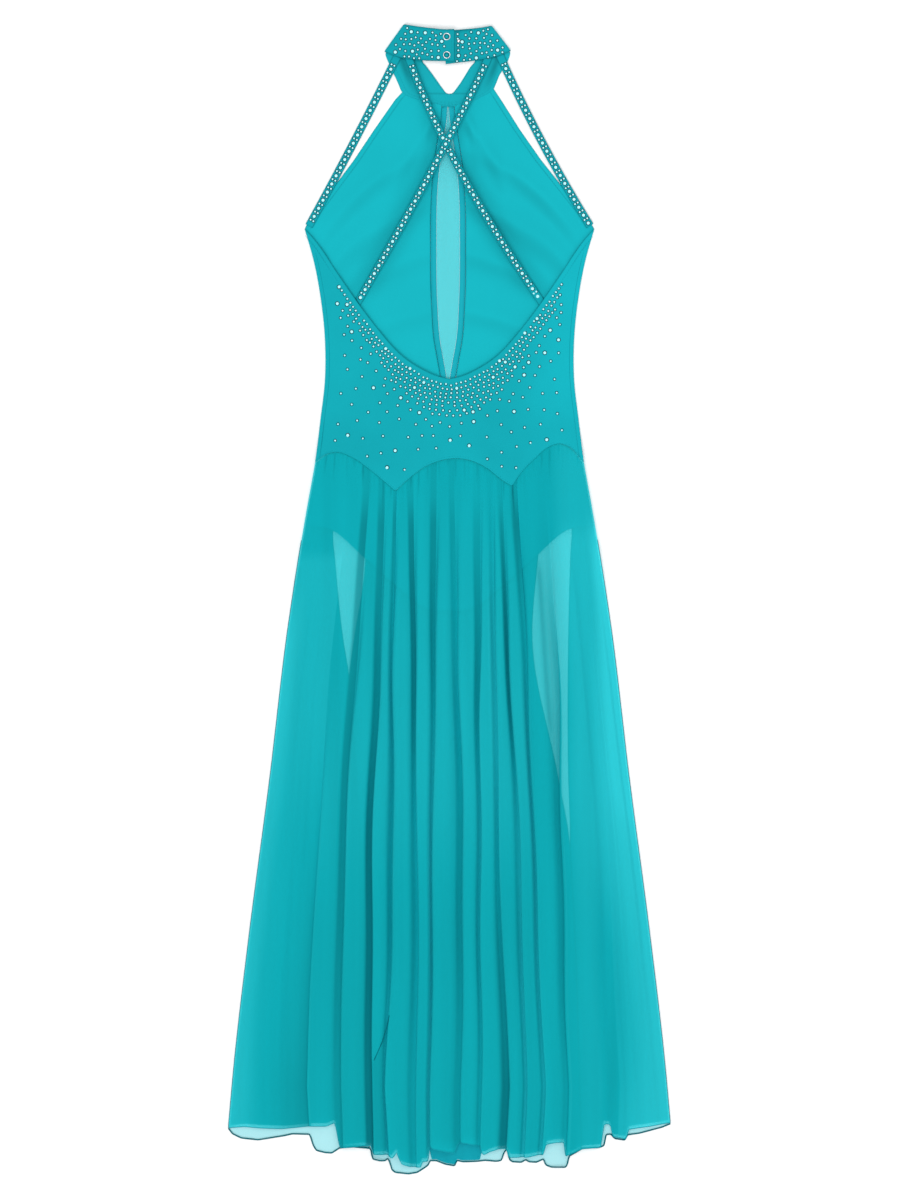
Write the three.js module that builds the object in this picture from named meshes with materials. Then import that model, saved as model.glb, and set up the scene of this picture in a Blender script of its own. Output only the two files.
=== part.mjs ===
// A long lyrical dance dress, laid flat with its back side up: a halter top with a snap collar, an open
// back with four straps, a keyhole of sheer mesh in the front, a built-in brief and a chiffon skirt.
// Millimetres. +Y runs up the dress to the collar, +X to the right of its back, +Z up from the surface
// that the dress lies on. The origin is the middle of the dress, on that surface.
import * as THREE from "three";

// ---------------------------------------------------------------- driving sizes
const CLOTH = 1.0; // wall of one layer of stretch knit or chiffon
const COLLAR_CLOTH = 1.6; // the collar is two layers, turned and topstitched
const STRAP_CLOTH = 1.2;
const BINDING_CLOTH = 1.3;
const GAP = 0.4; // between pieces that meet edge to edge
const LAYER = CLOTH + 0.35; // from the middle of one flat layer to the next
const FRONT_Z = CLOTH / 2; // middle of the layer that rests on the surface
const BACK_Z = FRONT_Z + LAYER; // a back layer that lies straight on the front
const SKIRT_OVER_BRIEF_Z = FRONT_Z + 3 * LAYER;
const HIP_EDGE_Z = FRONT_Z + 4 * LAYER; // the back bodice's lower edge laps over the skirt

const OUTER_STRAP_WIDTH = 9.6;
const CROSS_STRAP_WIDTH = 8.6;
const STRAP_STEPS = 10;
const STRAP_END_Z = 2.5; // between the two halves of the collar
const STRAP_Z = CLOTH + 0.35 + STRAP_CLOTH / 2; // on the front
const STRAP_END_CLEARANCE = 3 * GAP; // down the dress, from a strap's end to the back's neckline
const COLLAR_TUCK_SHARE = 0.15; // a strap rises into the collar over this share of its length
const CROSSING_LIFT = STRAP_CLOTH + 0.4; // the strap that passes over the other
const CROSSING = { share: 0.4, flat: 0.07, slope: 0.22 }; // where along the straps, as shares of them
const BINDING_WIDTH = 6.3; // beside the keyhole mesh
const KEYHOLE_X = -1.6; // the keyhole lies a little off the middle
const SNAP_RING = { outer: 4.6, inner: 1.9, height: 1.1, x: -3.2, upperY: 646.1, lowerY: 625 };
const HIP_RISE = 45; // the back bodice climbs onto the brief and the skirt over this height
const HIP_LAP = 3; // the skirt's upper edge is tucked this far under the back bodice
const BRIEF_INSET = 2;
const FOLD_LENGTH = 300; // a fold reaches its full height this far below its start
const FOLD_LEAN = 0.28; // sideways lean of a fold's crest, as a share of its height

// ---------------------------------------------------------------- the cut, as short tables
// Half the width of the dress at each height, underarm to hem.
const UNDERARM_Y = 425.5;
const SIDE = [
  { y: UNDERARM_Y, half: 166.5 },
  { y: 390, half: 156.4 },
  { y: 344, half: 147.8 },
  { y: 298, half: 143.2 },
  { y: 252, half: 143.2 },
  { y: 206, half: 148.4 },
  { y: 160, half: 154.1 },
  { y: 114, half: 162.2 },
  { y: 68, half: 170.2 },
  { y: -24, half: 184.6 },
  { y: -208, half: 207 },
  { y: -392, half: 231.2 },
  { y: -530, half: 247.3 },
  { y: -605, half: 254.2 },
];
// The front's armhole edge, from the yoke's corner to the underarm.
const ARMHOLE = [
  { y: 588, left: 49.5, right: 49.9 },
  { y: 574, left: 62.6, right: 59.2 },
  { y: 539, left: 87, right: 81.3 },
  { y: 505, left: 109.7, right: 105.1 },
  { y: 433, left: 163, right: 162 },
  { y: 425.5, left: 166.5, right: 166.5 },
];
// The low back neckline. share is 0 at the middle of the back and 1 at the side seam.
const BACK_NECK = [
  { share: 0, y: 253 },
  { share: 0.08, y: 255.5 },
  { share: 0.21, y: 263.4 },
  { share: 0.424, y: 285.2 },
  { share: 0.57, y: 310 },
  { share: 0.717, y: 341 },
  { share: 0.85, y: 377 },
  { share: 0.968, y: 417.5 },
  { share: 1, y: 425.5 },
];
// The scalloped hip seam, from the left side seam to the right one, with its two downward points.
const LEFT_POINT = -0.389;
const RIGHT_POINT = 0.451;
const HIP = [
  { share: -1, y: 157.2 },
  { share: -0.847, y: 168.7 },
  { share: -0.7275, y: 162.7 },
  { share: -0.604, y: 150.7 },
  { share: -0.484, y: 136.4 },
  { share: LEFT_POINT, y: 124.2 },
  { share: -0.304, y: 137.4 },
  { share: -0.196, y: 150.7 },
  { share: -0.084, y: 158.4 },
  { share: 0.03, y: 161.7 },
  { share: 0.174, y: 158.4 },
  { share: 0.285, y: 149.5 },
  { share: 0.378, y: 137.4 },
  { share: RIGHT_POINT, y: 129.7 },
  { share: 0.521, y: 144.1 },
  { share: 0.631, y: 160.5 },
  { share: 0.739, y: 173.8 },
  { share: 0.85, y: 178.3 },
  { share: 0.926, y: 172.6 },
  { share: 1, y: 157.2 },
];
// The brief's leg line, from the crotch to the side seam.
const LEG = [
  { share: 0, y: -14 },
  { share: 0.12, y: -13 },
  { share: 0.36, y: 17 },
  { share: 0.58, y: 49 },
  { share: 0.81, y: 79 },
  { share: 1, y: 84 },
];
// Half the width of the sheer mesh in the keyhole, and of the binding beside it.
const KEYHOLE = [
  { y: 566.5, half: 1.6, binding: 5 },
  { y: 551, half: 3.5, binding: BINDING_WIDTH },
  { y: 528, half: 5.8, binding: BINDING_WIDTH },
  { y: 505, half: 8.6, binding: BINDING_WIDTH },
  { y: 487, half: 10.7, binding: BINDING_WIDTH },
  { y: 459, half: 12.6, binding: BINDING_WIDTH },
  { y: 413, half: 13.2, binding: BINDING_WIDTH },
  { y: 338, half: 12.1, binding: BINDING_WIDTH },
  { y: 298, half: 9.2, binding: BINDING_WIDTH },
  { y: 275, half: 5.2, binding: BINDING_WIDTH },
  { y: 254, half: 1.8, binding: BINDING_WIDTH },
  { y: 240, half: 1.0, binding: 4 },
];
const KEYHOLE_END = 240;
const CENTRE_SEAM_TOP = 226; // below the bindings' ends the front's halves meet
// The yoke's lower edge, where the front hangs from it, and its V-shaped neckline.
const YOKE = [
  { outerX: -72, outerY: 627, innerX: -31, innerY: 618 },
  { outerX: -68.3, outerY: 613, innerX: -26.6, innerY: 612.5 },
  { outerX: -62.7, outerY: 600.9, innerX: -20.5, innerY: 604.5 },
  { outerX: -53.1, outerY: 583, innerX: -13, innerY: 594 },
  { outerX: -38, outerY: 576.6, innerX: -8, innerY: 587 },
  { outerX: -20, outerY: 570.8, innerX: -4, innerY: 582 },
  { outerX: 0, outerY: 567.5, innerX: 0, innerY: 580.8 },
  { outerX: 20, outerY: 571.4, innerX: 4, innerY: 582 },
  { outerX: 36, outerY: 578.6, innerX: 8, innerY: 587 },
  { outerX: 50.3, outerY: 587.2, innerX: 13, innerY: 594 },
  { outerX: 57.8, outerY: 603, innerX: 19.5, innerY: 604.5 },
  { outerX: 64.5, outerY: 613, innerX: 24.6, innerY: 612.5 },
  { outerX: 69.4, outerY: 627, innerX: 29, innerY: 618 },
];
// The collar's band, from the end of its closing flap round the left fold, the front and the right
// fold to the end that lies under the flap: its lower edge, its upper edge and its middle's height.
const COLLAR = [
  { lowX: 7, lowY: 617.2, topX: 7, topY: 654.8, z: 6.2 },
  { lowX: -6, lowY: 618.2, topX: -6, topY: 654.4, z: 6.2 },
  { lowX: -22, lowY: 618.8, topX: -17, topY: 655.6, z: 5.9 },
  { lowX: -42, lowY: 619.6, topX: -31, topY: 657.2, z: 4.7 },
  { lowX: -58, lowY: 622.2, topX: -41, topY: 658.8, z: 4.2 },
  { lowX: -71, lowY: 628, topX: -50, topY: 660.1, z: 4.2 },
  { lowX: -72.3, lowY: 628.6, topX: -51.3, topY: 660.1, z: 3.5 },
  { lowX: -72.8, lowY: 628.8, topX: -51.8, topY: 660.1, z: 2.5 },
  { lowX: -72.3, lowY: 628.6, topX: -51.3, topY: 660.1, z: 1.5 },
  { lowX: -71, lowY: 628, topX: -50, topY: 660.1, z: 0.8 },
  { lowX: -56, lowY: 622.4, topX: -38, topY: 658.2, z: 0.8 },
  { lowX: -30, lowY: 618.9, topX: -20, topY: 655.4, z: 0.8 },
  { lowX: 0, lowY: 618.6, topX: 0, topY: 654, z: 0.8 },
  { lowX: 28, lowY: 618.9, topX: 18, topY: 655.1, z: 0.8 },
  { lowX: 54, lowY: 623, topX: 36, topY: 657, z: 0.8 },
  { lowX: 68.4, lowY: 629.2, topX: 46.5, topY: 658.5, z: 0.8 },
  { lowX: 69.7, lowY: 629.8, topX: 47.8, topY: 658.5, z: 1.5 },
  { lowX: 70.2, lowY: 630, topX: 48.3, topY: 658.5, z: 2.5 },
  { lowX: 69.7, lowY: 629.8, topX: 47.8, topY: 658.5, z: 3.5 },
  { lowX: 68.4, lowY: 629.2, topX: 46.5, topY: 658.5, z: 4.2 },
  { lowX: 54, lowY: 623, topX: 36, topY: 656.6, z: 4.2 },
  { lowX: 28, lowY: 618.4, topX: 20, topY: 654.4, z: 4.2 },
  { lowX: 8, lowY: 616.4, topX: 8, topY: 653, z: 4.2 },
  { lowX: -6.2, lowY: 614.4, topX: -6.2, topY: 651.4, z: 4.2 },
];
// The skirt's folds: where each valley runs at four heights, where the ridge on its right begins and
// how high that ridge stands.
const FOLD_STATIONS = { hip: 125, thigh: -93, knee: -300, hem: -560 };
const FOLDS = [
  { hip: -120, thigh: -142, knee: -156, hem: -167, start: -60, height: 6 },
  { hip: -95, thigh: -111, knee: -123.6, hem: -127.7, start: 46, height: 10 },
  { hip: -77, thigh: -83.4, knee: -91.4, hem: -91.4, start: 118, height: 11 },
  { hip: -62.5, thigh: -66.1, knee: -65, hem: -73.9, start: 118, height: 12 },
  { hip: -44.3, thigh: -40.8, knee: -38.5, hem: -39.1, start: 135, height: 11 },
  { hip: -17.8, thigh: -19, knee: -20.1, hem: -22.4, start: 140, height: 12 },
  { hip: 2.9, thigh: 8.6, knee: 13.2, hem: 10.4, start: 140, height: 11 },
  { hip: 32, thigh: 32.8, knee: 33.9, hem: 36.8, start: 140, height: 9 },
  { hip: 46.6, thigh: 50, knee: 54.6, hem: 64.4, start: 130, height: 10 },
  { hip: 58, thigh: 68.4, knee: 79.9, hem: 87.4, start: 125, height: 9 },
  { hip: 74, thigh: 88, knee: 97, hem: 108.7, start: 125, height: 11 },
  { hip: 107.5, thigh: 123.6, knee: 129, hem: 137, start: 130, height: 7 },
  { hip: 136, thigh: 160, knee: 178, hem: 192, start: -20, height: 5 },
];
const LEFT_SEAM_FOLD = 3; // the back's panels are sewn together in these two valleys
const RIGHT_SEAM_FOLD = 10;
const LEFT_SIDE_RIDGE = { start: -20, height: 5 };
// The height of one ridge from valley to valley, as shares of its width and height.
const RIDGE = [
  { across: 0.1, up: 0.5 },
  { across: 0.28, up: 0.88 },
  { across: 0.5, up: 1 },
  { across: 0.72, up: 0.88 },
  { across: 0.9, up: 0.5 },
];
// The back skirt's hem.
const BACK_HEM = [
  { x: -254, y: -601 },
  { x: -243, y: -606 },
  { x: -160, y: -607 },
  { x: -134, y: -604 },
  { x: -124, y: -628 },
  { x: -92, y: -631 },
  { x: -72, y: -639 },
  { x: -62, y: -634 },
  { x: -40, y: -636 },
  { x: -28, y: -645 },
  { x: 28, y: -646 },
  { x: 46, y: -634 },
  { x: 72, y: -641 },
  { x: 104, y: -638 },
  { x: 118, y: -624 },
  { x: 140, y: -630 },
  { x: 172, y: -630 },
  { x: 186, y: -606 },
  { x: 240, y: -603 },
  { x: 254, y: -599 },
];
// The front skirt's hem, which reaches lower.
const FRONT_HEM = [
  { x: -254, y: -609 },
  { x: -244, y: -618.5 },
  { x: -217, y: -622 },
  { x: -181, y: -614 },
  { x: -160, y: -617 },
  { x: -152, y: -634 },
  { x: -135, y: -638 },
  { x: -126, y: -632 },
  { x: -90, y: -632.5 },
  { x: -84, y: -644 },
  { x: -72, y: -642 },
  { x: -66, y: -656 },
  { x: -48, y: -661 },
  { x: -33, y: -656 },
  { x: -23, y: -648.5 },
  { x: 6, y: -652 },
  { x: 56, y: -647 },
  { x: 62, y: -641 },
  { x: 77, y: -648 },
  { x: 108, y: -645 },
  { x: 118, y: -653 },
  { x: 132, y: -653 },
  { x: 139, y: -640 },
  { x: 151, y: -632.5 },
  { x: 176, y: -631 },
  { x: 182, y: -618 },
  { x: 203, y: -621.5 },
  { x: 235, y: -611.5 },
  { x: 254, y: -602.5 },
];
// The front skirt is open at each thigh: the side panels' inner edges and the middle panel's edges
// part below the hip and lap again further down.
const LEFT_SLIT = [
  { y: 167, side: -114.6, middle: -114.2 },
  { y: 110, side: -128, middle: -101 },
  { y: 74, side: -134.5, middle: -96.6 },
  { y: 46, side: -132, middle: -96.4 },
  { y: -47, side: -122.5, middle: -109.6 },
  { y: -86, side: -116.2, middle: -114.8 },
  { y: -130, side: -112, middle: -118 },
  { y: -640, side: -92, middle: -126 },
];
const RIGHT_SLIT = [
  { y: 173, side: 124.8, middle: 124.4 },
  { y: 110, side: 136, middle: 108 },
  { y: 85, side: 140.9, middle: 104.5 },
  { y: 52, side: 139.5, middle: 101.8 },
  { y: -47, side: 137, middle: 94.9 },
  { y: -200, side: 136.9, middle: 123.6 },
  { y: -277, side: 139, middle: 137.4 },
  { y: -330, side: 137, middle: 141 },
  { y: -640, side: 128, middle: 152 },
];
const STRAPS = [
  {
    name: "strap_outer_left",
    width: OUTER_STRAP_WIDTH,
    ...{ fromX: -59.5, fromY: 625, bendX: -107.5, bendY: 527, toX: -161.5, toY: 429, lift: 0 },
  },
  {
    name: "strap_outer_right",
    width: OUTER_STRAP_WIDTH,
    ...{ fromX: 57.5, fromY: 626, bendX: 100, bendY: 529, toX: 161.5, toY: 429, lift: 0 },
  },
  {
    name: "strap_cross_under",
    width: CROSS_STRAP_WIDTH,
    ...{ fromX: -47.5, fromY: 624, bendX: -7, bendY: 505, toX: 104, toY: 344, lift: 0 },
  },
  {
    name: "strap_cross_over",
    width: CROSS_STRAP_WIDTH,
    ...{ fromX: 45.5, fromY: 624, bendX: -6.5, bendY: 510, toX: -105, toY: 342, lift: CROSSING_LIFT },
  },
];
const SLIT_LAP = { left: -30, right: -220, rise: 40 };

// ---------------------------------------------------------------- reading the tables
function read(table, key, column, at) {
  const rising = table[table.length - 1][key] > table[0][key];
  const ordered = rising ? table : [...table].reverse();
  if (at <= ordered[0][key]) {
    return ordered[0][column];
  }
  const upper = ordered.find((row) => row[key] >= at);
  if (!upper) {
    return ordered[ordered.length - 1][column];
  }
  const lower = ordered[ordered.indexOf(upper) - 1];
  const share = (at - lower[key]) / (upper[key] - lower[key]);
  return THREE.MathUtils.lerp(lower[column], upper[column], share);
}

const smooth = (value) => THREE.MathUtils.smoothstep(value, 0, 1);
const sideHalf = (y) => read(SIDE, "y", "half", y);
const hipY = (share) => read(HIP, "share", "y", share);
const neckY = (share) => read(BACK_NECK, "share", "y", Math.abs(share));
const legY = (share) => read(LEG, "share", "y", Math.abs(share));

function spread(from, to, count) {
  return Array.from({ length: count + 1 }, (_, i) => THREE.MathUtils.lerp(from, to, i / count));
}

// Rising values with no two nearly alike.
function distinct(values) {
  const ordered = [...values].sort((a, b) => a - b);
  return ordered.filter((value, i) => i === 0 || value - ordered[i - 1] > 0.005);
}

// ---------------------------------------------------------------- from a grid of points to cloth
// The direction square to the cloth at one point of the grid, long enough to keep the wall's
// thickness on the inside of a bend.
function wallDirection(grid, r, c) {
  const row = grid[r];
  const along = new THREE.Vector3().subVectors(
    grid[Math.min(r + 1, grid.length - 1)][c],
    grid[Math.max(r - 1, 0)][c],
  );
  const squareTo = (from, to) => new THREE.Vector3().subVectors(to, from).cross(along).normalize();
  if (c === 0) {
    return { normal: squareTo(row[0], row[1]), bend: 0, miter: 1 };
  }
  if (c === row.length - 1) {
    return { normal: squareTo(row[c - 1], row[c]), bend: 0, miter: 1 };
  }
  const before = squareTo(row[c - 1], row[c]);
  const after = squareTo(row[c], row[c + 1]);
  const normal = new THREE.Vector3().addVectors(before, after).normalize();
  const step = new THREE.Vector3().subVectors(row[c + 1], row[c]);
  return { normal, bend: before.dot(step), miter: 1 / Math.max(0.32, normal.dot(before)) };
}

// A closed wall round a grid of middle points. Seam columns keep an upright edge.
function cloth(name, grid, thickness, look, upright = []) {
  const rows = grid.length;
  const columns = grid[0].length;
  const positions = [];
  for (const face of [1, -1]) {
    grid.forEach((row, r) => {
      row.forEach((point, c) => {
        const wall = wallDirection(grid, r, c);
        if (upright.includes(c)) {
          wall.normal.set(0, 0, Math.sign(wall.normal.z));
        }
        const inside = Math.sign(wall.bend) === face;
        const reach = (thickness / 2) * face * (inside ? wall.miter : 1);
        positions.push(...point.clone().addScaledVector(wall.normal, reach).toArray());
      });
    });
  }
  const index = [];
  const quad = (a, b, c, d) => index.push(a, b, c, a, c, d);
  const other = rows * columns;
  const at = (r, c) => r * columns + c;
  for (let r = 0; r < rows - 1; r += 1) {
    for (let c = 0; c < columns - 1; c += 1) {
      quad(at(r, c), at(r, c + 1), at(r + 1, c + 1), at(r + 1, c));
      quad(other + at(r, c), other + at(r + 1, c), other + at(r + 1, c + 1), other + at(r, c + 1));
    }
  }
  for (let r = 0; r < rows - 1; r += 1) {
    const last = columns - 1;
    quad(at(r, 0), at(r + 1, 0), other + at(r + 1, 0), other + at(r, 0));
    quad(at(r, last), other + at(r, last), other + at(r + 1, last), at(r + 1, last));
  }
  for (let c = 0; c < columns - 1; c += 1) {
    const last = rows - 1;
    quad(at(0, c), other + at(0, c), other + at(0, c + 1), at(0, c + 1));
    quad(at(last, c), at(last, c + 1), other + at(last, c + 1), other + at(last, c));
  }
  const geometry = new THREE.BufferGeometry();
  geometry.setAttribute("position", new THREE.Float32BufferAttribute(positions, 3));
  geometry.setIndex(index);
  return named(name, geometry, look);
}

function named(name, geometry, look) {
  const flat = geometry.index ? geometry.toNonIndexed() : geometry;
  flat.computeVertexNormals();
  const mesh = new THREE.Mesh(flat, new THREE.MeshStandardMaterial(look));
  mesh.name = name;
  return mesh;
}

const KNIT = { color: 0x14acb9, roughness: 0.62, metalness: 0 };
const YOKE_KNIT = { color: 0x1ba5b4, roughness: 0.62, metalness: 0 };
const CHIFFON = { color: 0x14afbc, roughness: 0.75, metalness: 0, side: THREE.DoubleSide };
const MESH_NET = { color: 0x58d8e3, roughness: 0.7, metalness: 0 };
const RING_METAL = { color: 0xc9ced2, roughness: 0.25, metalness: 1 };

const group = new THREE.Group();

// ---------------------------------------------------------------- front bodice, two halves
function yokeLowY(x) {
  const seam = YOKE.filter((row) => row.outerY < 590);
  return read(seam, "outerX", "outerY", x) - GAP;
}

function frontOuter(side, y) {
  if (y > UNDERARM_Y) {
    return side * read(ARMHOLE, "y", side < 0 ? "left" : "right", y);
  }
  return side * sideHalf(y);
}

function frontInner(side, y) {
  const open = read(KEYHOLE, "y", "half", y) + read(KEYHOLE, "y", "binding", y) + 2 * GAP;
  const close = smooth((y - CENTRE_SEAM_TOP) / (KEYHOLE_END - CENTRE_SEAM_TOP));
  return KEYHOLE_X + side * THREE.MathUtils.lerp(GAP / 2, open, close);
}

function frontBodice(side) {
  const shares = HIP.map((row) => row.share * side).filter((share) => share > 0.02);
  const columns = [0, ...shares.sort((a, b) => a - b)];
  const innerTop = yokeLowY(side * 52 * 0.14);
  const innerBottom = hipY(0) + GAP;
  const innerRows = [innerTop, ...KEYHOLE.map((row) => row.y), CENTRE_SEAM_TOP, 195, innerBottom];
  return innerRows.map((innerY) =>
    columns.map((share) => {
      const height = (innerY - innerBottom) / (innerTop - innerBottom);
      const top = yokeLowY(side * 52 * (0.14 + 0.86 * share));
      const bottom = hipY(side * share) + GAP;
      const y = THREE.MathUtils.lerp(bottom, top, height);
      const x = THREE.MathUtils.lerp(frontInner(side, y), frontOuter(side, y), share);
      const atHip = height === 0 && share > 0;
      return new THREE.Vector3(atHip ? side * share * sideHalf(y) : x, y, FRONT_Z);
    }),
  );
}
group.add(cloth("front_bodice_left", frontBodice(-1), CLOTH, KNIT));
group.add(cloth("front_bodice_right", frontBodice(1), CLOTH, KNIT));

// ---------------------------------------------------------------- keyhole mesh and its bindings
const keyholeGrid = KEYHOLE.map((row) =>
  [-1, 0, 1].map((side) => new THREE.Vector3(KEYHOLE_X + side * row.half, row.y, FRONT_Z)),
);
group.add(cloth("keyhole_mesh", keyholeGrid, CLOTH, MESH_NET));

function keyholeBinding(side) {
  return KEYHOLE.map((row) =>
    [0, 1].map((across) => {
      const from = row.half + GAP;
      const x = KEYHOLE_X + side * (from + across * row.binding);
      return new THREE.Vector3(x, row.y, BINDING_CLOTH / 2);
    }),
  );
}
group.add(cloth("keyhole_binding_left", keyholeBinding(-1), BINDING_CLOTH, YOKE_KNIT));
group.add(cloth("keyhole_binding_right", keyholeBinding(1), BINDING_CLOTH, YOKE_KNIT));

// ---------------------------------------------------------------- yoke
const collarFront = COLLAR.filter((row) => row.z === COLLAR_CLOTH / 2);
const yokeGrid = YOKE.map((row, i) =>
  spread(0, 1, 3).map((across) => {
    const x = THREE.MathUtils.lerp(row.outerX, row.innerX, across);
    const y = THREE.MathUtils.lerp(row.outerY, row.innerY, across);
    const atCollar = i === 0 || i === YOKE.length - 1;
    const collarEdge = read(collarFront, "lowX", "lowY", x) - 1.5 * GAP;
    return new THREE.Vector3(x, atCollar ? collarEdge : y, FRONT_Z);
  }),
);
group.add(cloth("front_yoke", yokeGrid, CLOTH, YOKE_KNIT));

// ---------------------------------------------------------------- collar and snaps
const collarGrid = [0, 0.5, 1].map((up) =>
  COLLAR.map((row) => {
    const x = THREE.MathUtils.lerp(row.lowX, row.topX, up);
    const y = THREE.MathUtils.lerp(row.lowY, row.topY, up);
    return new THREE.Vector3(x, y, row.z);
  }),
);
group.add(cloth("collar_band", collarGrid, COLLAR_CLOTH, KNIT));

function snapRing(name, y) {
  const bottom = COLLAR[0].z + COLLAR_CLOTH / 2 + 0.3;
  const { outer, inner, height } = SNAP_RING;
  const profile = [
    [inner, 0],
    [outer, 0],
    [outer, height * 0.6],
    [(outer + inner) / 2, height],
    [inner, height * 0.6],
    [inner, 0],
  ].map(([radius, up]) => new THREE.Vector2(radius, up));
  const ring = new THREE.LatheGeometry(profile, 24);
  ring.rotateX(Math.PI / 2);
  ring.translate(SNAP_RING.x, y, bottom);
  return named(name, ring, RING_METAL);
}
group.add(snapRing("snap_upper", SNAP_RING.upperY));
group.add(snapRing("snap_lower", SNAP_RING.lowerY));

// ---------------------------------------------------------------- back bodice
const neckShares = BACK_NECK.flatMap((row) => [row.share, -row.share]);
const backShares = distinct([...HIP.map((row) => row.share), ...neckShares]);
const backHeights = [1, 0.85, 0.68, 0.5, 0.34, 0.2, 0.1, 0.04, 0];
const backBodiceGrid = backHeights.map((height) =>
  backShares.map((share) => {
    const bottom = hipY(share);
    const y = THREE.MathUtils.lerp(bottom, neckY(share), height);
    const rise = smooth(1 - (y - bottom) / HIP_RISE);
    return new THREE.Vector3(share * sideHalf(y), y, THREE.MathUtils.lerp(BACK_Z, HIP_EDGE_Z, rise));
  }),
);
group.add(cloth("back_bodice", backBodiceGrid, CLOTH, KNIT));

// ---------------------------------------------------------------- straps
// Moves a strap's end along the strap to just short of the back's neckline.
function reachNeckline(edge, direction) {
  const at = (distance) => edge.clone().addScaledVector(direction, distance);
  const clearance = ({ x, y }) => {
    const share = Math.abs(x) / sideHalf(Math.min(y, UNDERARM_Y));
    return y - neckY(Math.min(share, 1)) - STRAP_END_CLEARANCE;
  };
  let above = -20;
  let below = 20;
  for (let halving = 0; halving < 30; halving += 1) {
    const middle = (above + below) / 2;
    if (clearance(at(middle)) > 0) {
      above = middle;
    } else {
      below = middle;
    }
  }
  return at(above);
}

// A strap from between the collar's halves to the back's neckline, where it is cut along that edge.
function strap({ name, width, fromX, fromY, bendX, bendY, toX, toY, lift }) {
  const curve = new THREE.QuadraticBezierCurve3(
    new THREE.Vector3(fromX, fromY, 0),
    new THREE.Vector3(bendX, bendY, 0),
    new THREE.Vector3(toX, toY, 0),
  );
  const grid = spread(0, 1, STRAP_STEPS).map((share) => {
    const direction = curve.getTangent(share);
    const across = new THREE.Vector3(-direction.y, direction.x, 0).normalize();
    const offCrossing = Math.abs(share - CROSSING.share) - CROSSING.flat;
    const hump = lift * smooth(1 - Math.max(0, offCrossing) / CROSSING.slope);
    const toCollar = smooth(1 - share / COLLAR_TUCK_SHARE);
    const z = THREE.MathUtils.lerp(STRAP_Z, STRAP_END_Z, toCollar) + hump;
    return [-0.5, 0, 0.5].map((side) => {
      const edge = curve.getPoint(share).addScaledVector(across, side * width).setZ(z);
      return share === 1 ? reachNeckline(edge, direction) : edge;
    });
  });
  return cloth(name, grid, STRAP_CLOTH, KNIT);
}
for (const row of STRAPS) {
  group.add(strap(row));
}

// ---------------------------------------------------------------- brief
function brief(name, z) {
  const shares = distinct([...spread(-1, 1, 16), LEFT_POINT, RIGHT_POINT]);
  const grid = spread(0, 1, 4).map((down) =>
    shares.map((share) => {
      const y = THREE.MathUtils.lerp(hipY(share) - GAP, legY(share), down);
      return new THREE.Vector3(share * (sideHalf(y) - BRIEF_INSET), y, z);
    }),
  );
  return cloth(name, grid, CLOTH, KNIT);
}
group.add(brief("brief_front", FRONT_Z + LAYER));
group.add(brief("brief_back", FRONT_Z + 2 * LAYER));

// ---------------------------------------------------------------- front skirt, three panels
const hemY = (table, x) => read(table, "x", "y", x);

function slitLift(x, y) {
  const edge = x < 0 ? read(LEFT_SLIT, "y", "side", y) + 15 : read(RIGHT_SLIT, "y", "side", y) - 15;
  const start = x < 0 ? SLIT_LAP.left : SLIT_LAP.right;
  const below = smooth((start - y) / SLIT_LAP.rise);
  const beyond = Math.sign(x) * (x - edge);
  return LAYER * below * smooth(1 + beyond / 12);
}

function frontPanel(name, hipShares, edges, onTop) {
  const shares = distinct(hipShares);
  const first = shares[0];
  const last = shares[shares.length - 1];
  const downs = [0, 0.06, 0.12, 0.18, 0.25, 0.3, 0.36, 0.45, 0.54, 0.75, 1];
  const grid = downs.map((down) =>
    shares.map((share) => {
      const across = (share - first) / (last - first);
      const hemX = THREE.MathUtils.lerp(edges.left(-620), edges.right(-620), across);
      const y = THREE.MathUtils.lerp(hipY(share) - GAP, hemY(FRONT_HEM, hemX), down);
      const x = THREE.MathUtils.lerp(edges.left(y), edges.right(y), across);
      const z = FRONT_Z + (onTop ? slitLift(x, y) : 0);
      return new THREE.Vector3(down === 0 ? share * sideHalf(y) : x, y, z);
    }),
  );
  return cloth(name, grid, CLOTH, CHIFFON);
}
const LEFT_SLIT_SHARE = -0.737;
const RIGHT_SLIT_SHARE = 0.818;
const SLIT_HALF_GAP = 0.0018; // half the gap between two panels at the hip, as a share
const slitEdge = (table, column) => (y) => read(table, "y", column, y);
const panelShares = (from, to, count) => [
  ...spread(from, to, count),
  ...HIP.map((row) => row.share).filter((share) => share > from && share < to),
];
group.add(
  frontPanel(
    "front_skirt_left",
    panelShares(-1, LEFT_SLIT_SHARE - SLIT_HALF_GAP, 10),
    { left: (y) => -sideHalf(y), right: slitEdge(LEFT_SLIT, "side") },
    false,
  ),
);
group.add(
  frontPanel(
    "front_skirt_middle",
    panelShares(LEFT_SLIT_SHARE + SLIT_HALF_GAP, RIGHT_SLIT_SHARE - SLIT_HALF_GAP, 18),
    { left: slitEdge(LEFT_SLIT, "middle"), right: slitEdge(RIGHT_SLIT, "middle") },
    true,
  ),
);
group.add(
  frontPanel(
    "front_skirt_right",
    panelShares(RIGHT_SLIT_SHARE + SLIT_HALF_GAP, 1, 8),
    { left: slitEdge(RIGHT_SLIT, "side"), right: (y) => sideHalf(y) },
    false,
  ),
);

// ---------------------------------------------------------------- back skirt, three panels
function valleyX(fold, y) {
  if (fold < 0) {
    return -sideHalf(y);
  }
  if (fold >= FOLDS.length) {
    return sideHalf(y);
  }
  const stations = Object.entries(FOLD_STATIONS).map(([name, height]) => ({ height, x: FOLDS[fold][name] }));
  return read(stations, "height", "x", y);
}

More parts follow.
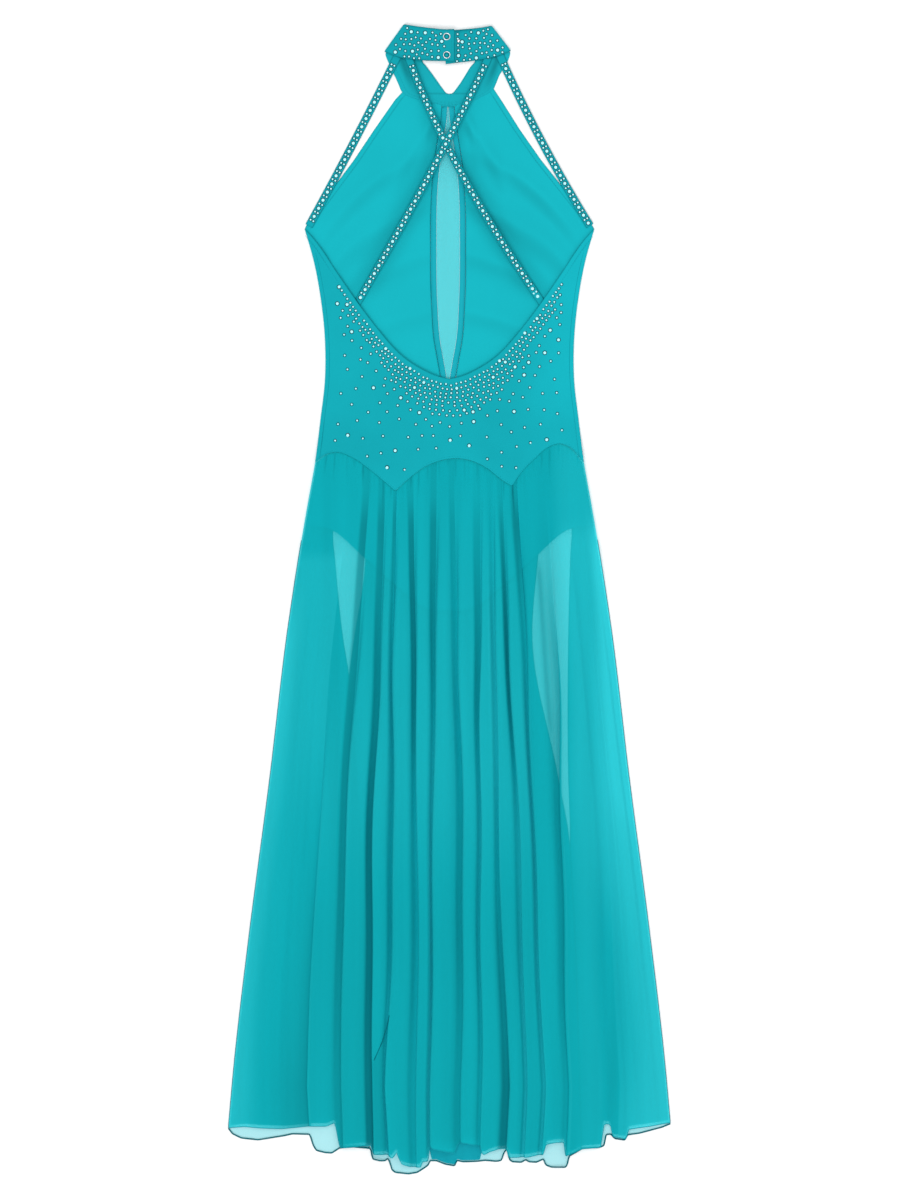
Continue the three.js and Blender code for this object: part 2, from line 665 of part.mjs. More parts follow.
function ridgeHeight(fold, y) {
  const ridge = fold < 0 ? LEFT_SIDE_RIDGE : FOLDS[fold];
  const grown = THREE.MathUtils.clamp((ridge.start - y) / FOLD_LENGTH, 0, 1);
  return ridge.height * Math.sin((grown * Math.PI) / 2);
}

// The height of the valleys: over the brief, over the lapped front panels, or on the front.
function restingZ(x, y) {
  const inward = sideHalf(y) - Math.abs(x);
  const overFront = BACK_Z + LAYER * smooth(inward / 40);
  const belowLeg = legY(x / sideHalf(y)) - 35 - y;
  return THREE.MathUtils.lerp(SKIRT_OVER_BRIEF_Z, overFront, smooth(belowLeg / 60));
}

function backPoint(fold, across, up, y, nudge) {
  const from = valleyX(fold, y);
  const to = valleyX(fold + 1, y);
  const height = ridgeHeight(fold, y);
  const x = THREE.MathUtils.lerp(from, to, across) - FOLD_LEAN * height * up + nudge;
  return new THREE.Vector3(x, y, restingZ(x, y) + height * up);
}

function backPanel(name, firstFold, lastFold) {
  const columns = [];
  for (let fold = firstFold; fold < lastFold; fold += 1) {
    const nudge = fold === firstFold && fold >= 0 ? GAP / 2 : 0;
    columns.push({ fold, across: 0, up: 0, nudge });
    RIDGE.forEach((step) => columns.push({ fold, across: step.across, up: step.up, nudge: 0 }));
  }
  const endNudge = lastFold < FOLDS.length ? -GAP / 2 : 0;
  columns.push({ fold: lastFold - 1, across: 1, up: 0, nudge: endNudge });
  const downs = [0, 0.03, 0.07, 0.12, 0.18, 0.24, 0.31, 0.39, 0.47, 0.56, 0.66, 0.77, 0.89, 0.96, 1];
  const grid = downs.map((down) =>
    columns.map(({ fold, across, up, nudge }) => {
      const topX = backPoint(fold, across, up, FOLD_STATIONS.hip + 20, nudge).x;
      const hemX = backPoint(fold, across, up, -620, nudge).x;
      const top = hipY(topX / sideHalf(FOLD_STATIONS.hip + 20)) + HIP_LAP;
      const y = THREE.MathUtils.lerp(top, hemY(BACK_HEM, hemX), down);
      return backPoint(fold, across, up, y, nudge);
    }),
  );
  return cloth(name, grid, CLOTH, CHIFFON, [0, columns.length - 1]);
}
group.add(backPanel("back_skirt_left", -1, LEFT_SEAM_FOLD));
group.add(backPanel("back_skirt_middle", LEFT_SEAM_FOLD, RIGHT_SEAM_FOLD));
group.add(backPanel("back_skirt_right", RIGHT_SEAM_FOLD, FOLDS.length));

export default group;
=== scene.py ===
"""A lyrical dance dress laid flat with its back up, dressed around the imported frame.

Metres. +Y runs up the dress to the collar, +X to the right of its back, +Z up from the surface.
"""

import math
import random

import bpy
import numpy as np
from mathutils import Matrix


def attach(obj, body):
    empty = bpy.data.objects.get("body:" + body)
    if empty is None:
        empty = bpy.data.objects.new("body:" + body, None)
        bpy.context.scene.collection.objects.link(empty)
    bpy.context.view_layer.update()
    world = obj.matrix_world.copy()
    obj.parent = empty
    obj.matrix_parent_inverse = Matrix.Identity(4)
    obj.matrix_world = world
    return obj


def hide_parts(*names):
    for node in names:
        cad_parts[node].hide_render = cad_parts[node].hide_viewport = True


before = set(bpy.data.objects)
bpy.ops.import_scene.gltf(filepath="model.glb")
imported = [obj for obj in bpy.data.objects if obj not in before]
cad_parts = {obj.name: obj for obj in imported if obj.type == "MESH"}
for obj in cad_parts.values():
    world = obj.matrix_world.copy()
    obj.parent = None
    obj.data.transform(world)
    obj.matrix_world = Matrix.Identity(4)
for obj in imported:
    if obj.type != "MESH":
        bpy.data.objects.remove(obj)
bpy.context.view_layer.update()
random.seed(11)

# ------------------------------------------------------------------ sizes
MM = 0.001
KNIT = 0.9 * MM  # thickness of the stretch knit as modelled
COLLAR_THICKNESS = 1.5 * MM
STRAP_THICKNESS = 1.1 * MM
FRONT_Z = 0.5 * MM  # middle of the layer on the surface
LAYER = 1.35 * MM  # from the middle of one flat layer to the next
BACK_Z = FRONT_Z + LAYER
OVER_BRIEF_Z = FRONT_Z + 3 * LAYER
HIP_EDGE_Z = OVER_BRIEF_Z + 0.6 * MM
HIP_LAP = 0.003  # the skirt's upper edge is tucked this far under the bodice
HIP_RISE = 0.045  # over this distance the bodice climbs onto the skirt
HIP_Y = 0.145  # the hip seam's mean height
HEM_Y = -0.62  # and the hem's
UNDERARM_Y = 0.4255
KEYHOLE_X = -0.0016  # the keyhole's middle line
BINDING_WIDTH = 0.0063
YOKE_GATHERS = 1500  # radians of gathers for each metre across
OUTER = 0.0092  # width of the outer straps
CROSS = 0.0086  # width of the crossing straps
STRAP_Z = 1.95 * MM  # middle of a strap
STRAP_END_Z = 2.5 * MM  # and of its end under the collar
STRAP_ARCH = 6.0 * MM  # the crossing straps bridge the open back
CROSSING_LIFT = 1.6 * MM
FOLD_LENGTH = 0.30  # a ridge is full-grown this far below its start
TURNED_EDGE = 0.0055  # width of the turned and topstitched edges
SIDE_SEAM = 0.0046  # the back bodice's side seams run this far in from its edges
NECK_LIFT = 0.0014  # how far the back's neckline stands off the front
NECK_HALF = 0.15  # mean half width of the bodice beside the neckline
STITCH = {"length": 0.0021, "pitch": 0.0031, "width": 0.00030}
BIG_STONE = 0.0020  # radius
SMALL_STONE = 0.00118
BIG_BODICE_STONE = 0.0019
STONE_PITCH = 0.0106  # from one pair of crystals to the next on a strap
STONE_ROWS = 8  # close rows along the back's neckline
FIRST_ROW = 0.0070  # distance of the first row from the neckline
ROW_PITCH = 0.0050
SCATTER = (0.018, 0.158)  # the scattered crystals lie this far from the neckline
STONE_TOP = 0.366  # no crystal on the bodice above this height
SEAM_CLEARANCE = 0.009  # nor so close to the hip seam
SNAP_CLEARANCE = 0.0074
SETTING_SHADE_RIM = 0.00082  # the dark setting, widened for its painted shade, shows this far round each crystal
STITCH_SHAPE = (-0.5, 0.7, 1, 0.7, -0.5)  # a stitch's ends go into the cloth and its middle lies on it

# Half the width of the dress: (height, half).
SIDE = (
    (-0.605, 0.2542), (-0.530, 0.2473), (-0.392, 0.2312), (-0.208, 0.2070), (-0.024, 0.1846),
    (0.068, 0.1702), (0.114, 0.1622), (0.160, 0.1541), (0.206, 0.1484), (0.252, 0.1432),
    (0.298, 0.1432), (0.344, 0.1478), (0.390, 0.1564), (UNDERARM_Y, 0.1665),
)
# The front's armhole edges: (height, left half, right half).
ARMHOLE = (
    (UNDERARM_Y, 0.1665, 0.1665), (0.433, 0.163, 0.162), (0.505, 0.1097, 0.1051),
    (0.539, 0.087, 0.0813), (0.574, 0.0626, 0.0592), (0.588, 0.0495, 0.0499),
)
# The back's low neckline: (share of the half width, height).
BACK_NECK = (
    (0, 0.2530), (0.08, 0.2555), (0.21, 0.2634), (0.424, 0.2852), (0.57, 0.310),
    (0.717, 0.341), (0.85, 0.377), (0.968, 0.4175), (1, UNDERARM_Y),
)
# The three scallops of the hip seam: (share, height).
HIP_SCALLOPS = (
    ((-1, 0.1572), (-0.93, 0.166), (-0.847, 0.1687), (-0.7275, 0.1627), (-0.604, 0.1507),
     (-0.484, 0.1364), (-0.389, 0.1242)),
    ((-0.389, 0.1242), (-0.304, 0.1374), (-0.196, 0.1507), (-0.084, 0.1584), (0.03, 0.1617),
     (0.174, 0.1584), (0.285, 0.1495), (0.378, 0.1374), (0.451, 0.1297)),
    ((0.451, 0.1297), (0.521, 0.1441), (0.631, 0.1605), (0.739, 0.1738), (0.85, 0.1783),
     (0.926, 0.1726), (1, 0.1572)),
)
# The brief's leg line: (share, height).
LEG = ((0, -0.014), (0.12, -0.013), (0.36, 0.017), (0.58, 0.049), (0.81, 0.079), (1, 0.084))
# The keyhole: (height, half width of the mesh).
KEYHOLE = (
    (0.240, 0.0010), (0.254, 0.0018), (0.275, 0.0052), (0.298, 0.0092), (0.338, 0.0121),
    (0.413, 0.0132), (0.459, 0.0126), (0.487, 0.0107), (0.505, 0.0086), (0.528, 0.0052),
    (0.551, 0.0016), (0.5665, 0.0004),
)
# Long soft creases of the front's inner face and of the back bodice:
# (x, y, angle in degrees, length, width, height).
FRONT_CREASES = (
    (0.100, 0.470, -42, 0.070, 0.010, 0.0020), (0.072, 0.432, -34, 0.080, 0.012, 0.0018),
    (0.060, 0.385, -24, 0.080, 0.012, 0.0014), (0.120, 0.405, -50, 0.050, 0.010, 0.0014),
    (0.045, 0.515, -60, 0.050, 0.008, 0.0018), (0.026, 0.540, -76, 0.030, 0.005, 0.0016),
    (0.050, 0.325, -16, 0.080, 0.012, 0.0012),
)
BACK_CREASES = (
    (0.115, 0.235, -70, 0.060, 0.007, 0.0006), (0.095, 0.200, -62, 0.050, 0.006, 0.0005),
    (-0.118, 0.240, 72, 0.060, 0.007, 0.0006), (-0.090, 0.195, 60, 0.050, 0.006, 0.0005),
    (0.030, 0.190, -80, 0.040, 0.010, 0.0004), (-0.040, 0.180, 80, 0.040, 0.010, 0.0004),
)
# The yoke, from its left end to its right, both tucked under the collar:
# (outer x, outer y, inner x, inner y).
YOKE = (
    (-0.0700, 0.6308, -0.0300, 0.6228), (-0.0735, 0.6258, -0.0310, 0.6178),
    (-0.0683, 0.6130, -0.0266, 0.6125), (-0.0627, 0.6009, -0.0205, 0.6045),
    (-0.0531, 0.5830, -0.0130, 0.5940), (-0.0380, 0.5766, -0.0080, 0.5870),
    (-0.0200, 0.5708, -0.0040, 0.5820), (0.0000, 0.5675, 0.0000, 0.5808),
    (0.0200, 0.5714, 0.0040, 0.5820), (0.0360, 0.5786, 0.0080, 0.5870),
    (0.0503, 0.5872, 0.0130, 0.5940), (0.0578, 0.6030, 0.0195, 0.6045),
    (0.0645, 0.6130, 0.0246, 0.6125), (0.0698, 0.6268, 0.0290, 0.6176),
    (0.0664, 0.6318, 0.0281, 0.6226),
)
# The collar's band, from its flap round the front to its other end:
# (lower x, lower y, upper x, upper y, height of its middle).
COLLAR = (
    (0.0070, 0.6172, 0.0070, 0.6548, 0.0062), (-0.0060, 0.6182, -0.0060, 0.6544, 0.0062),
    (-0.0220, 0.6188, -0.0170, 0.6556, 0.0059), (-0.0420, 0.6196, -0.0310, 0.6572, 0.0047),
    (-0.0580, 0.6222, -0.0410, 0.6588, 0.0042), (-0.0727, 0.6284, -0.0504, 0.6603, 0.0042),
    (-0.0740, 0.6290, -0.0517, 0.6603, 0.0035), (-0.0745, 0.6292, -0.0522, 0.6603, 0.0025),
    (-0.0740, 0.6290, -0.0517, 0.6603, 0.0015), (-0.0727, 0.6284, -0.0504, 0.6603, 0.0008),
    (-0.0560, 0.6224, -0.0380, 0.6582, 0.0008), (-0.0300, 0.6189, -0.0200, 0.6554, 0.0008),
    (0.0000, 0.6186, 0.0000, 0.6540, 0.0008), (0.0280, 0.6189, 0.0180, 0.6551, 0.0008),
    (0.0540, 0.6230, 0.0360, 0.6570, 0.0008), (0.0684, 0.6292, 0.0465, 0.6585, 0.0008),
    (0.0697, 0.6298, 0.0478, 0.6585, 0.0015), (0.0702, 0.6300, 0.0483, 0.6585, 0.0025),
    (0.0697, 0.6298, 0.0478, 0.6585, 0.0035), (0.0684, 0.6292, 0.0465, 0.6585, 0.0042),
    (0.0540, 0.6230, 0.0360, 0.6566, 0.0042), (0.0280, 0.6184, 0.0200, 0.6544, 0.0042),
    (0.0080, 0.6164, 0.0080, 0.6530, 0.0042), (-0.0062, 0.6144, -0.0062, 0.6514, 0.0042),
)
COLLAR_STEPS = 9  # columns of the collar's grid for each row above
# The band's two back halves: from its first row to this one, and from that one to its last.
LEFT_END_ROW, RIGHT_START_ROW = 4.75, 19.2
SNAPS = {"snap_upper": (-0.0032, 0.6461), "snap_lower": (-0.0032, 0.6250)}
SNAP_Z = 7.3 * MM  # top of a snap's cap
STUD_AT = (0.0105, 0.6414, 0.0049)  # foot of the spare stud
# The straps: (start x, y, bend x, y, end x, y, lift where they cross, width).
STRAPS = {
    "strap_outer_left": (-0.0595, 0.625, -0.1075, 0.527, -0.1615, 0.429, 0, OUTER),
    "strap_outer_right": (0.0575, 0.626, 0.100, 0.529, 0.1615, 0.429, 0, OUTER),
    "strap_cross_under": (-0.0475, 0.624, -0.007, 0.505, 0.104, 0.344, 0, CROSS),
    "strap_cross_over": (0.0455, 0.624, -0.0065, 0.510, -0.105, 0.342, CROSSING_LIFT, CROSS),
}
STRAP_CROSSING = 0.4  # share of their length
# The skirt's folds: where each valley runs at four heights, where the ridge on its right begins
# and how high it stands.
FOLD_HEIGHTS = (0.125, -0.093, -0.300, -0.560)
FOLDS = (
    ((-0.1200, -0.1420, -0.1560, -0.1670), -0.060, 0.006),
    ((-0.0950, -0.1110, -0.1236, -0.1277), 0.046, 0.010),
    ((-0.0770, -0.0834, -0.0914, -0.0914), 0.118, 0.011),
    ((-0.0625, -0.0661, -0.0650, -0.0739), 0.118, 0.012),
    ((-0.0443, -0.0408, -0.0385, -0.0391), 0.135, 0.011),
    ((-0.0178, -0.0190, -0.0201, -0.0224), 0.140, 0.012),
    ((0.0029, 0.0086, 0.0132, 0.0104), 0.140, 0.011),
    ((0.0320, 0.0328, 0.0339, 0.0368), 0.140, 0.009),
    ((0.0466, 0.0500, 0.0546, 0.0644), 0.130, 0.010),
    ((0.0580, 0.0684, 0.0799, 0.0874), 0.125, 0.009),
    ((0.0740, 0.0880, 0.0970, 0.1087), 0.125, 0.011),
    ((0.1075, 0.1236, 0.1290, 0.1370), 0.130, 0.007),
    ((0.1360, 0.1600, 0.1780, 0.1920), -0.020, 0.005),
)
# How dark each valley is painted at the same four heights, for its layers of cloth and its painted
# shade: 1 where it is gathered deep, 0 on the open skirt, and below 0 where it is spread thin and
# painted lighter. Then how wide that band is at hip and hem.
VALLEY_LAYERS_AND_SHADE = (
    ((0.0, 0.0, 0.35, 0.95), 0.020, 0.060),
    ((0.8, 0.7, 0.55, 0.30), 0.009, 0.013),
    ((0.8, 0.70, 0.90, 0.95), 0.009, 0.010),
    ((0.9, 0.1, 0.1, -0.90), 0.004, 0.005),
    ((0.8, 0.9, 0.0, -0.15), 0.008, 0.005),
    ((0.8, 0.4, -0.7, -1.00), 0.009, 0.005),
    ((0.6, 0.15, 0.55, 0.30), 0.007, 0.009),
    ((0.4, 0.6, -0.35, -0.10), 0.010, 0.004),
    ((0.3, -0.35, 0.05, 0.90), 0.008, 0.012),
    ((0.5, 0.8, -0.4, -1.00), 0.007, 0.004),
    ((1.0, 0.1, -0.5, -0.70), 0.009, 0.005),
    ((0.0, 0.5, 0.2, 0.0), 0.008, 0.005),
    ((0.0, 0.0, 0.1, 0.45), 0.020, 0.020),
)
THINNEST_AND_LIT = -1.8  # the lowest value, where the cloth is spread thin and painted lighter
# Where a fold of the lining inside the right thigh opening is painted as a darker line, for its layers
# and painted shade: (height, x).
INNER_FOLD = ((-0.190, 0.1190), (-0.093, 0.1110), (0.000, 0.1050), (0.060, 0.1010))
LEFT_SIDE_RIDGE = (-0.020, 0.005)  # the same two for the ridge left of the first valley
LEFT_SEAM_FOLD = 3  # the back's panels are sewn together in these valleys
RIGHT_SEAM_FOLD = 10
LAPPED_FOLD = 2  # this one ends above the others
FOLD_COLUMNS, SIDE_COLUMNS = 26, 60  # columns of the grid over a fold and over a flat side
PANEL_GAP = 0.0004
# How wide the thin, light strip along the right side is: (height, width).
RIGHT_LIGHT = ((-0.60, 0.085), (-0.53, 0.058), (-0.415, 0.052), (-0.30, 0.064), (-0.185, 0.046),
               (-0.093, 0.034), (0.0, 0.020), (0.090, 0.014))
# The slanting hem of a fold that ends above the others: (x, y), from its top.
LAPPED_EDGE = ((-0.0690, -0.478), (-0.0712, -0.489), (-0.0770, -0.508), (-0.0868, -0.530))
# One full-grown ridge, from valley to valley: (share of its width, share of its height). Its left
# edge hangs over the valley and its right side runs down softly.
RIDGE = (
    (0, 0), (-0.05, 0.34), (-0.03, 0.78), (0.07, 0.97), (0.30, 1), (0.55, 0.94), (0.70, 0.70),
    (0.80, 0.30), (0.90, 0.07), (1, 0),
)
# The skirt's hems: (x, y). The back's hem, the hem of the front's upper layer and its outer layer.
BACK_HEM = (
    (-0.2540, -0.6080), (-0.2363, -0.6062), (-0.2160, -0.6079), (-0.1907, -0.6087),
    (-0.1604, -0.6058), (-0.1410, -0.6058), (-0.1309, -0.6015), (-0.1266, -0.6305),
    (-0.1090, -0.6290), (-0.1018, -0.6279), (-0.0895, -0.6279), (-0.0887, -0.6379),
    (-0.0726, -0.6379), (-0.0673, -0.6429), (-0.0600, -0.6340), (-0.0590, -0.6440),
    (-0.0558, -0.6492), (-0.0457, -0.6521), (-0.0330, -0.6526), (-0.0320, -0.6458),
    (-0.0245, -0.6458), (-0.0237, -0.6281), (-0.0186, -0.6315), (0.0063, -0.6365),
    (0.0075, -0.6290), (0.0115, -0.6240), (0.0362, -0.6285), (0.0372, -0.6380),
    (0.0410, -0.6380), (0.0460, -0.6350), (0.0572, -0.6316), (0.0660, -0.6316),
    (0.0692, -0.6411), (0.0857, -0.6411), (0.0907, -0.6411), (0.1020, -0.6385),
    (0.1092, -0.6385), (0.1106, -0.6264), (0.1235, -0.6239), (0.1321, -0.6242),
    (0.1340, -0.6405), (0.1528, -0.6316), (0.1750, -0.6300), (0.1761, -0.6023),
    (0.1846, -0.6040), (0.1873, -0.6178), (0.2030, -0.6205), (0.2053, -0.6092),
    (0.2305, -0.6057), (0.2540, -0.6020),
)
FRONT_HEM = (
    (-0.2545, -0.6080), (-0.2498, -0.6147), (-0.2397, -0.6197), (-0.2202, -0.6219),
    (-0.1907, -0.6172), (-0.1806, -0.6150), (-0.1604, -0.6155), (-0.1570, -0.6281),
    (-0.1535, -0.6340), (-0.1435, -0.6365), (-0.1359, -0.6371), (-0.1266, -0.6311),
    (-0.1098, -0.6299), (-0.0897, -0.6318), (-0.0894, -0.6417), (-0.0877, -0.6440),
    (-0.0794, -0.6458), (-0.0735, -0.6458), (-0.0710, -0.6425), (-0.0675, -0.6501),
    (-0.0667, -0.6560), (-0.0624, -0.6593), (-0.0473, -0.6610), (-0.0371, -0.6593),
    (-0.0279, -0.6534), (-0.0237, -0.6501), (-0.0233, -0.6458), (-0.0153, -0.6458),
    (-0.0052, -0.6498), (0.0063, -0.6518), (0.0077, -0.6454), (0.0150, -0.6471),
    (0.0313, -0.6466), (0.0408, -0.6454), (0.0537, -0.6466), (0.0597, -0.6454),
    (0.0615, -0.6377), (0.0667, -0.6308), (0.0675, -0.6437), (0.0718, -0.6471),
    (0.0821, -0.6477), (0.0873, -0.6446), (0.0907, -0.6471), (0.0994, -0.6477),
    (0.1080, -0.6437), (0.1097, -0.6506), (0.1166, -0.6532), (0.1331, -0.6532),
    (0.1356, -0.6488), (0.1359, -0.6411), (0.1528, -0.6316), (0.1718, -0.6308),
    (0.1787, -0.6281), (0.1790, -0.6161), (0.1856, -0.6153), (0.1899, -0.6204),
    (0.2019, -0.6222), (0.2045, -0.6161), (0.2183, -0.6143), (0.2441, -0.6074),
    (0.2545, -0.6032),
)
# The front's upper layer ends just above the back's hem. Between these places, (from x, to x), it
# hangs lower and ends just above the outer layer's hem.
LOWER_MIDDLE = (-0.0245, 0.0385)
LOWER_EASE = 0.004  # the step at each end of that stretch
ABOVE_BACK_HEM = 0.003
ABOVE_OUTER_HEM = 0.0015
# The front skirt's thigh openings: (height, side panel's edge, middle panel's edge).
LEFT_SLIT = (
    (-0.640, -0.0920, -0.1260), (-0.130, -0.1120, -0.1180), (-0.086, -0.1162, -0.1148),
    (-0.047, -0.1225, -0.1096), (0.046, -0.1320, -0.0964), (0.074, -0.1345, -0.0966),
    (0.110, -0.1280, -0.1010), (0.167, -0.1146, -0.1142),
)
RIGHT_SLIT = (
    (-0.640, 0.1385, 0.1520), (-0.330, 0.1370, 0.1410), (-0.277, 0.1390, 0.1374),
    (-0.200, 0.1369, 0.1236), (-0.047, 0.1370, 0.0949), (0.052, 0.1395, 0.1018),
    (0.085, 0.1409, 0.1045), (0.110, 0.1360, 0.1080), (0.173, 0.1248, 0.1244),
)
# Below these heights the middle panel lies on the side panels, which it climbs over this distance.
LAPS = {"left": -0.030, "right": -0.220, "rise": 0.040}
LEFT_SLIT_SHARE = -0.737  # where the openings end at the hip, in shares of its half width
RIGHT_SLIT_SHARE = 0.818


# ------------------------------------------------------------------ reading the tables
def straight(table, at, column=1):
    """A table's column at one or many places, on straight lines between its rows."""
    rows = sorted(table)
    return np.interp(at, [row[0] for row in rows], [row[column] for row in rows])


def curve(table, at, column=1):
    """The same on a smooth line through the rows."""
    rows = np.array(sorted(table), float)
    x, y = rows[:, 0], rows[:, column]
    slope = np.gradient(y, x)
    at = np.clip(at, x[0], x[-1])
    i = np.clip(np.searchsorted(x, at) - 1, 0, len(x) - 2)
    step = x[i + 1] - x[i]
    t = (at - x[i]) / step
    start = (1 + 2 * t) * (1 - t) ** 2 * y[i] + t * (1 - t) ** 2 * step * slope[i]
    end = t * t * (3 - 2 * t) * y[i + 1] - t * t * (1 - t) * step * slope[i + 1]
    return start + end


def mix(a, b, share):
    return a + (b - a) * share


def ease(value):
    """From 0 to 1 with a soft start and end, as the value goes from 0 to 1."""
    value = np.clip(value, 0, 1)
    return value * value * (3 - 2 * value)


def bump(at, middle, width):
    """A soft hump of height 1."""
    return np.exp(-(((at - middle) / width) ** 2))


def grid_shares(rows, columns, down=(0, 1), across=(0, 1)):
    """How far down and how far across each point of a grid is."""
    return np.meshgrid(np.linspace(*down, rows), np.linspace(*across, columns), indexing="ij")


def points_at(x, y, z):
    """Points from their coordinates, any of which may be one value for all."""
    return np.stack(np.broadcast_arrays(x, y, z), -1)


def side_half(y):
    """Half the dress's width at a height."""
    return curve(SIDE, y)


def neck_y(share):
    """The back neckline's height at a share of the half width."""
    return curve(BACK_NECK, np.abs(share))


def hip_y(share):
    """The hip seam's height: each scallop is smooth, and they meet in points."""
    share = np.asarray(share, float)
    left, middle, right = (curve(scallop, share) for scallop in HIP_SCALLOPS)
    first, last = HIP_SCALLOPS[0][-1][0], HIP_SCALLOPS[1][-1][0]
    return np.where(share < first, left, np.where(share < last, middle, right))


def neck_slope(share):
    """How steeply the neckline runs up towards the underarm."""
    return float(neck_y(abs(share) + 0.02) - neck_y(abs(share) - 0.02)) / (0.04 * NECK_HALF)


def neck_lift(below_neck, share):
    """The neckline stands off the front, save at the underarms."""
    return NECK_LIFT * ease(1 - below_neck / 0.016) * ease((1 - np.abs(share)) / 0.1)


def strap_line(row, t):
    """Middle points, heights and directions at the shares t of one strap's length."""
    fx, fy, bx, by, tx, ty, lift, _ = row
    x = (1 - t) ** 2 * fx + 2 * t * (1 - t) * bx + t * t * tx
    y = (1 - t) ** 2 * fy + 2 * t * (1 - t) * by + t * t * ty
    along = np.stack([np.gradient(x), np.gradient(y)], -1)
    along /= np.linalg.norm(along, axis=1, keepdims=True)
    hump = lift * ease(1 - np.maximum(0, np.abs(t - STRAP_CROSSING) - 0.07) / 0.22)
    if row[-1] == CROSS:
        hump = hump + STRAP_ARCH * np.sin(np.clip(t, 0, 1) * math.pi) ** 0.6
    z = mix(STRAP_Z, STRAP_END_Z, ease(1 - t / 0.15)) + hump
    return x, y, z, along


# ------------------------------------------------------------------ meshes from grids of points
def add_mesh(name, points, faces, materials, smooth=True, slots=None):
    mesh = bpy.data.meshes.new(name)
    mesh.from_pydata([tuple(p) for p in points], [], [tuple(f) for f in faces])
    mesh.validate()
    mesh.polygons.foreach_set("use_smooth", [smooth] * len(mesh.polygons))
    for material in materials:
        mesh.materials.append(material)
    if slots is not None:
        mesh.polygons.foreach_set("material_index", slots)
    mesh.update()
    piece = bpy.data.objects.new(mesh.name, mesh)
    bpy.context.scene.collection.objects.link(piece)
    return piece


def grid_faces(rows, columns, start=0, flip=False):
    r, c = np.meshgrid(np.arange(rows - 1), np.arange(columns - 1), indexing="ij")
    a = start + r * columns + c
    quads = np.stack([a, a + 1, a + columns + 1, a + columns], -1).reshape(-1, 4)
    return quads[:, ::-1] if flip else quads


def normals(grid):
    """The direction that each point of a grid faces."""
    down, across = np.gradient(grid, axis=0), np.gradient(grid, axis=1)
    n = np.cross(across, down)
    return n / np.maximum(np.linalg.norm(n, axis=2, keepdims=True), 1e-12)


def open_sheet(name, grid, material):
    """One surface with no thickness, facing up."""
    up = normals(grid)[..., 2].mean() > 0
    rows, columns = grid.shape[:2]
    return add_mesh(name, grid.reshape(-1, 3), grid_faces(rows, columns, flip=not up), [material])


def shell(name, grid, thickness, material):
    """A closed wall round a grid, thinner along its border so that the edges look rounded."""
    rows, columns = grid.shape[:2]
    n = normals(grid)
    r, c = np.meshgrid(np.arange(rows), np.arange(columns), indexing="ij")
    border = (r == 0) | (r == rows - 1) | (c == 0) | (c == columns - 1)
    reach = np.where(border, 0.25, 0.5)[..., None] * thickness
    top, bottom = grid + n * reach, grid - n * reach
    count = rows * columns
    faces = [grid_faces(rows, columns), grid_faces(rows, columns, count, flip=True)]
    index = np.arange(count).reshape(rows, columns)
    for line in (index[0], index[:, -1], index[-1, ::-1], index[::-1, 0]):
        faces.append(np.stack([line[:-1], line[:-1] + count, line[1:] + count, line[1:]], -1))
    points = np.concatenate([top.reshape(-1, 3), bottom.reshape(-1, 3)])
    return add_mesh(name, points, np.concatenate(faces), [material])


def ring_faces(rings, sides, closed=True):
    """The faces between rings of points. A closed profile goes once round."""
    faces = []
    for i in range(rings if closed else rings - 1):
        for k in range(sides):
            a, b = i * sides, (i + 1) % rings * sides
            faces.append((a + k, a + (k + 1) % sides, b + (k + 1) % sides, b + k))
    return faces


def circle(x, y, z, radius, sides, turn=0.0):
    """The corners of a level ring."""
    angles = [turn + 2 * math.pi * k / sides for k in range(sides)]
    return [(x + radius * math.cos(angle), y + radius * math.sin(angle), z) for angle in angles]


def lathe(x, y, z, profile, sides, dark=0, turn=0.0):
    """A small solid turned about an upright axis, as (points, faces, slots).

    The profile's rows are (radius, height), from the bottom up. Its foot and as many of its lowest
    bands as dark says take slot 1, and the rest takes slot 0.
    """
    points = [point for radius, up in profile for point in circle(x, y, z + up, radius, sides, turn)]
    last = (len(profile) - 1) * sides
    faces = [tuple(range(sides - 1, -1, -1)), *ring_faces(len(profile), sides, closed=False)]
    faces.append(tuple(range(last, last + sides)))
    slots = [1] * (1 + dark * sides)
    return points, faces, slots + [0] * (len(faces) - len(slots))


def tube(points, radius, sides=6):
    """The points and faces of a closed tube along a line."""
    line = np.asarray(points, float)
    along = np.gradient(line, axis=0)
    along /= np.maximum(np.linalg.norm(along, axis=1, keepdims=True), 1e-12)
    side = np.cross(along, [0.0, 0.0, 1.0])
    side /= np.maximum(np.linalg.norm(side, axis=1, keepdims=True), 1e-12)
    other = np.cross(side, along)
    turn = np.linspace(0, 2 * math.pi, sides, endpoint=False)
    ring = np.cos(turn)[None, :, None] * side[:, None] + np.sin(turn)[None, :, None] * other[:, None]
    body = (line[:, None] + radius * ring).reshape(-1, 3)
    faces = [face[::-1] for face in ring_faces(len(line), sides, closed=False)]
    last = (len(line) - 1) * sides
    faces.append(tuple(range(sides)))
    faces.append(tuple(last + j for j in range(sides - 1, -1, -1)))
    return body, faces


def joined(name, parts, materials, smooth=True):
    """One piece from several (points, faces) or (points, faces, slots)."""
    points, faces, slots, start = [], [], [], 0
    for part in parts:
        points.extend(part[0])
        faces.extend(tuple(start + i for i in face) for face in part[1])
        slots.extend(part[2] if len(part) > 2 else [0] * len(part[1]))
        start += len(part[0])
    return add_mesh(name, points, faces, materials, smooth, slots)


def set_values(cloth, attribute, values):
    cloth.data.attributes.new(attribute, "FLOAT", "POINT").data.foreach_set("value", values)


def shade(cloth, values):
    """How far painted shade and darker edge lines darken each point of a shell, from 0 to 1."""
    both_faces = np.concatenate([values.ravel(), values.ravel()])
    set_values(cloth, "shade", np.clip(both_faces, 0, 1))


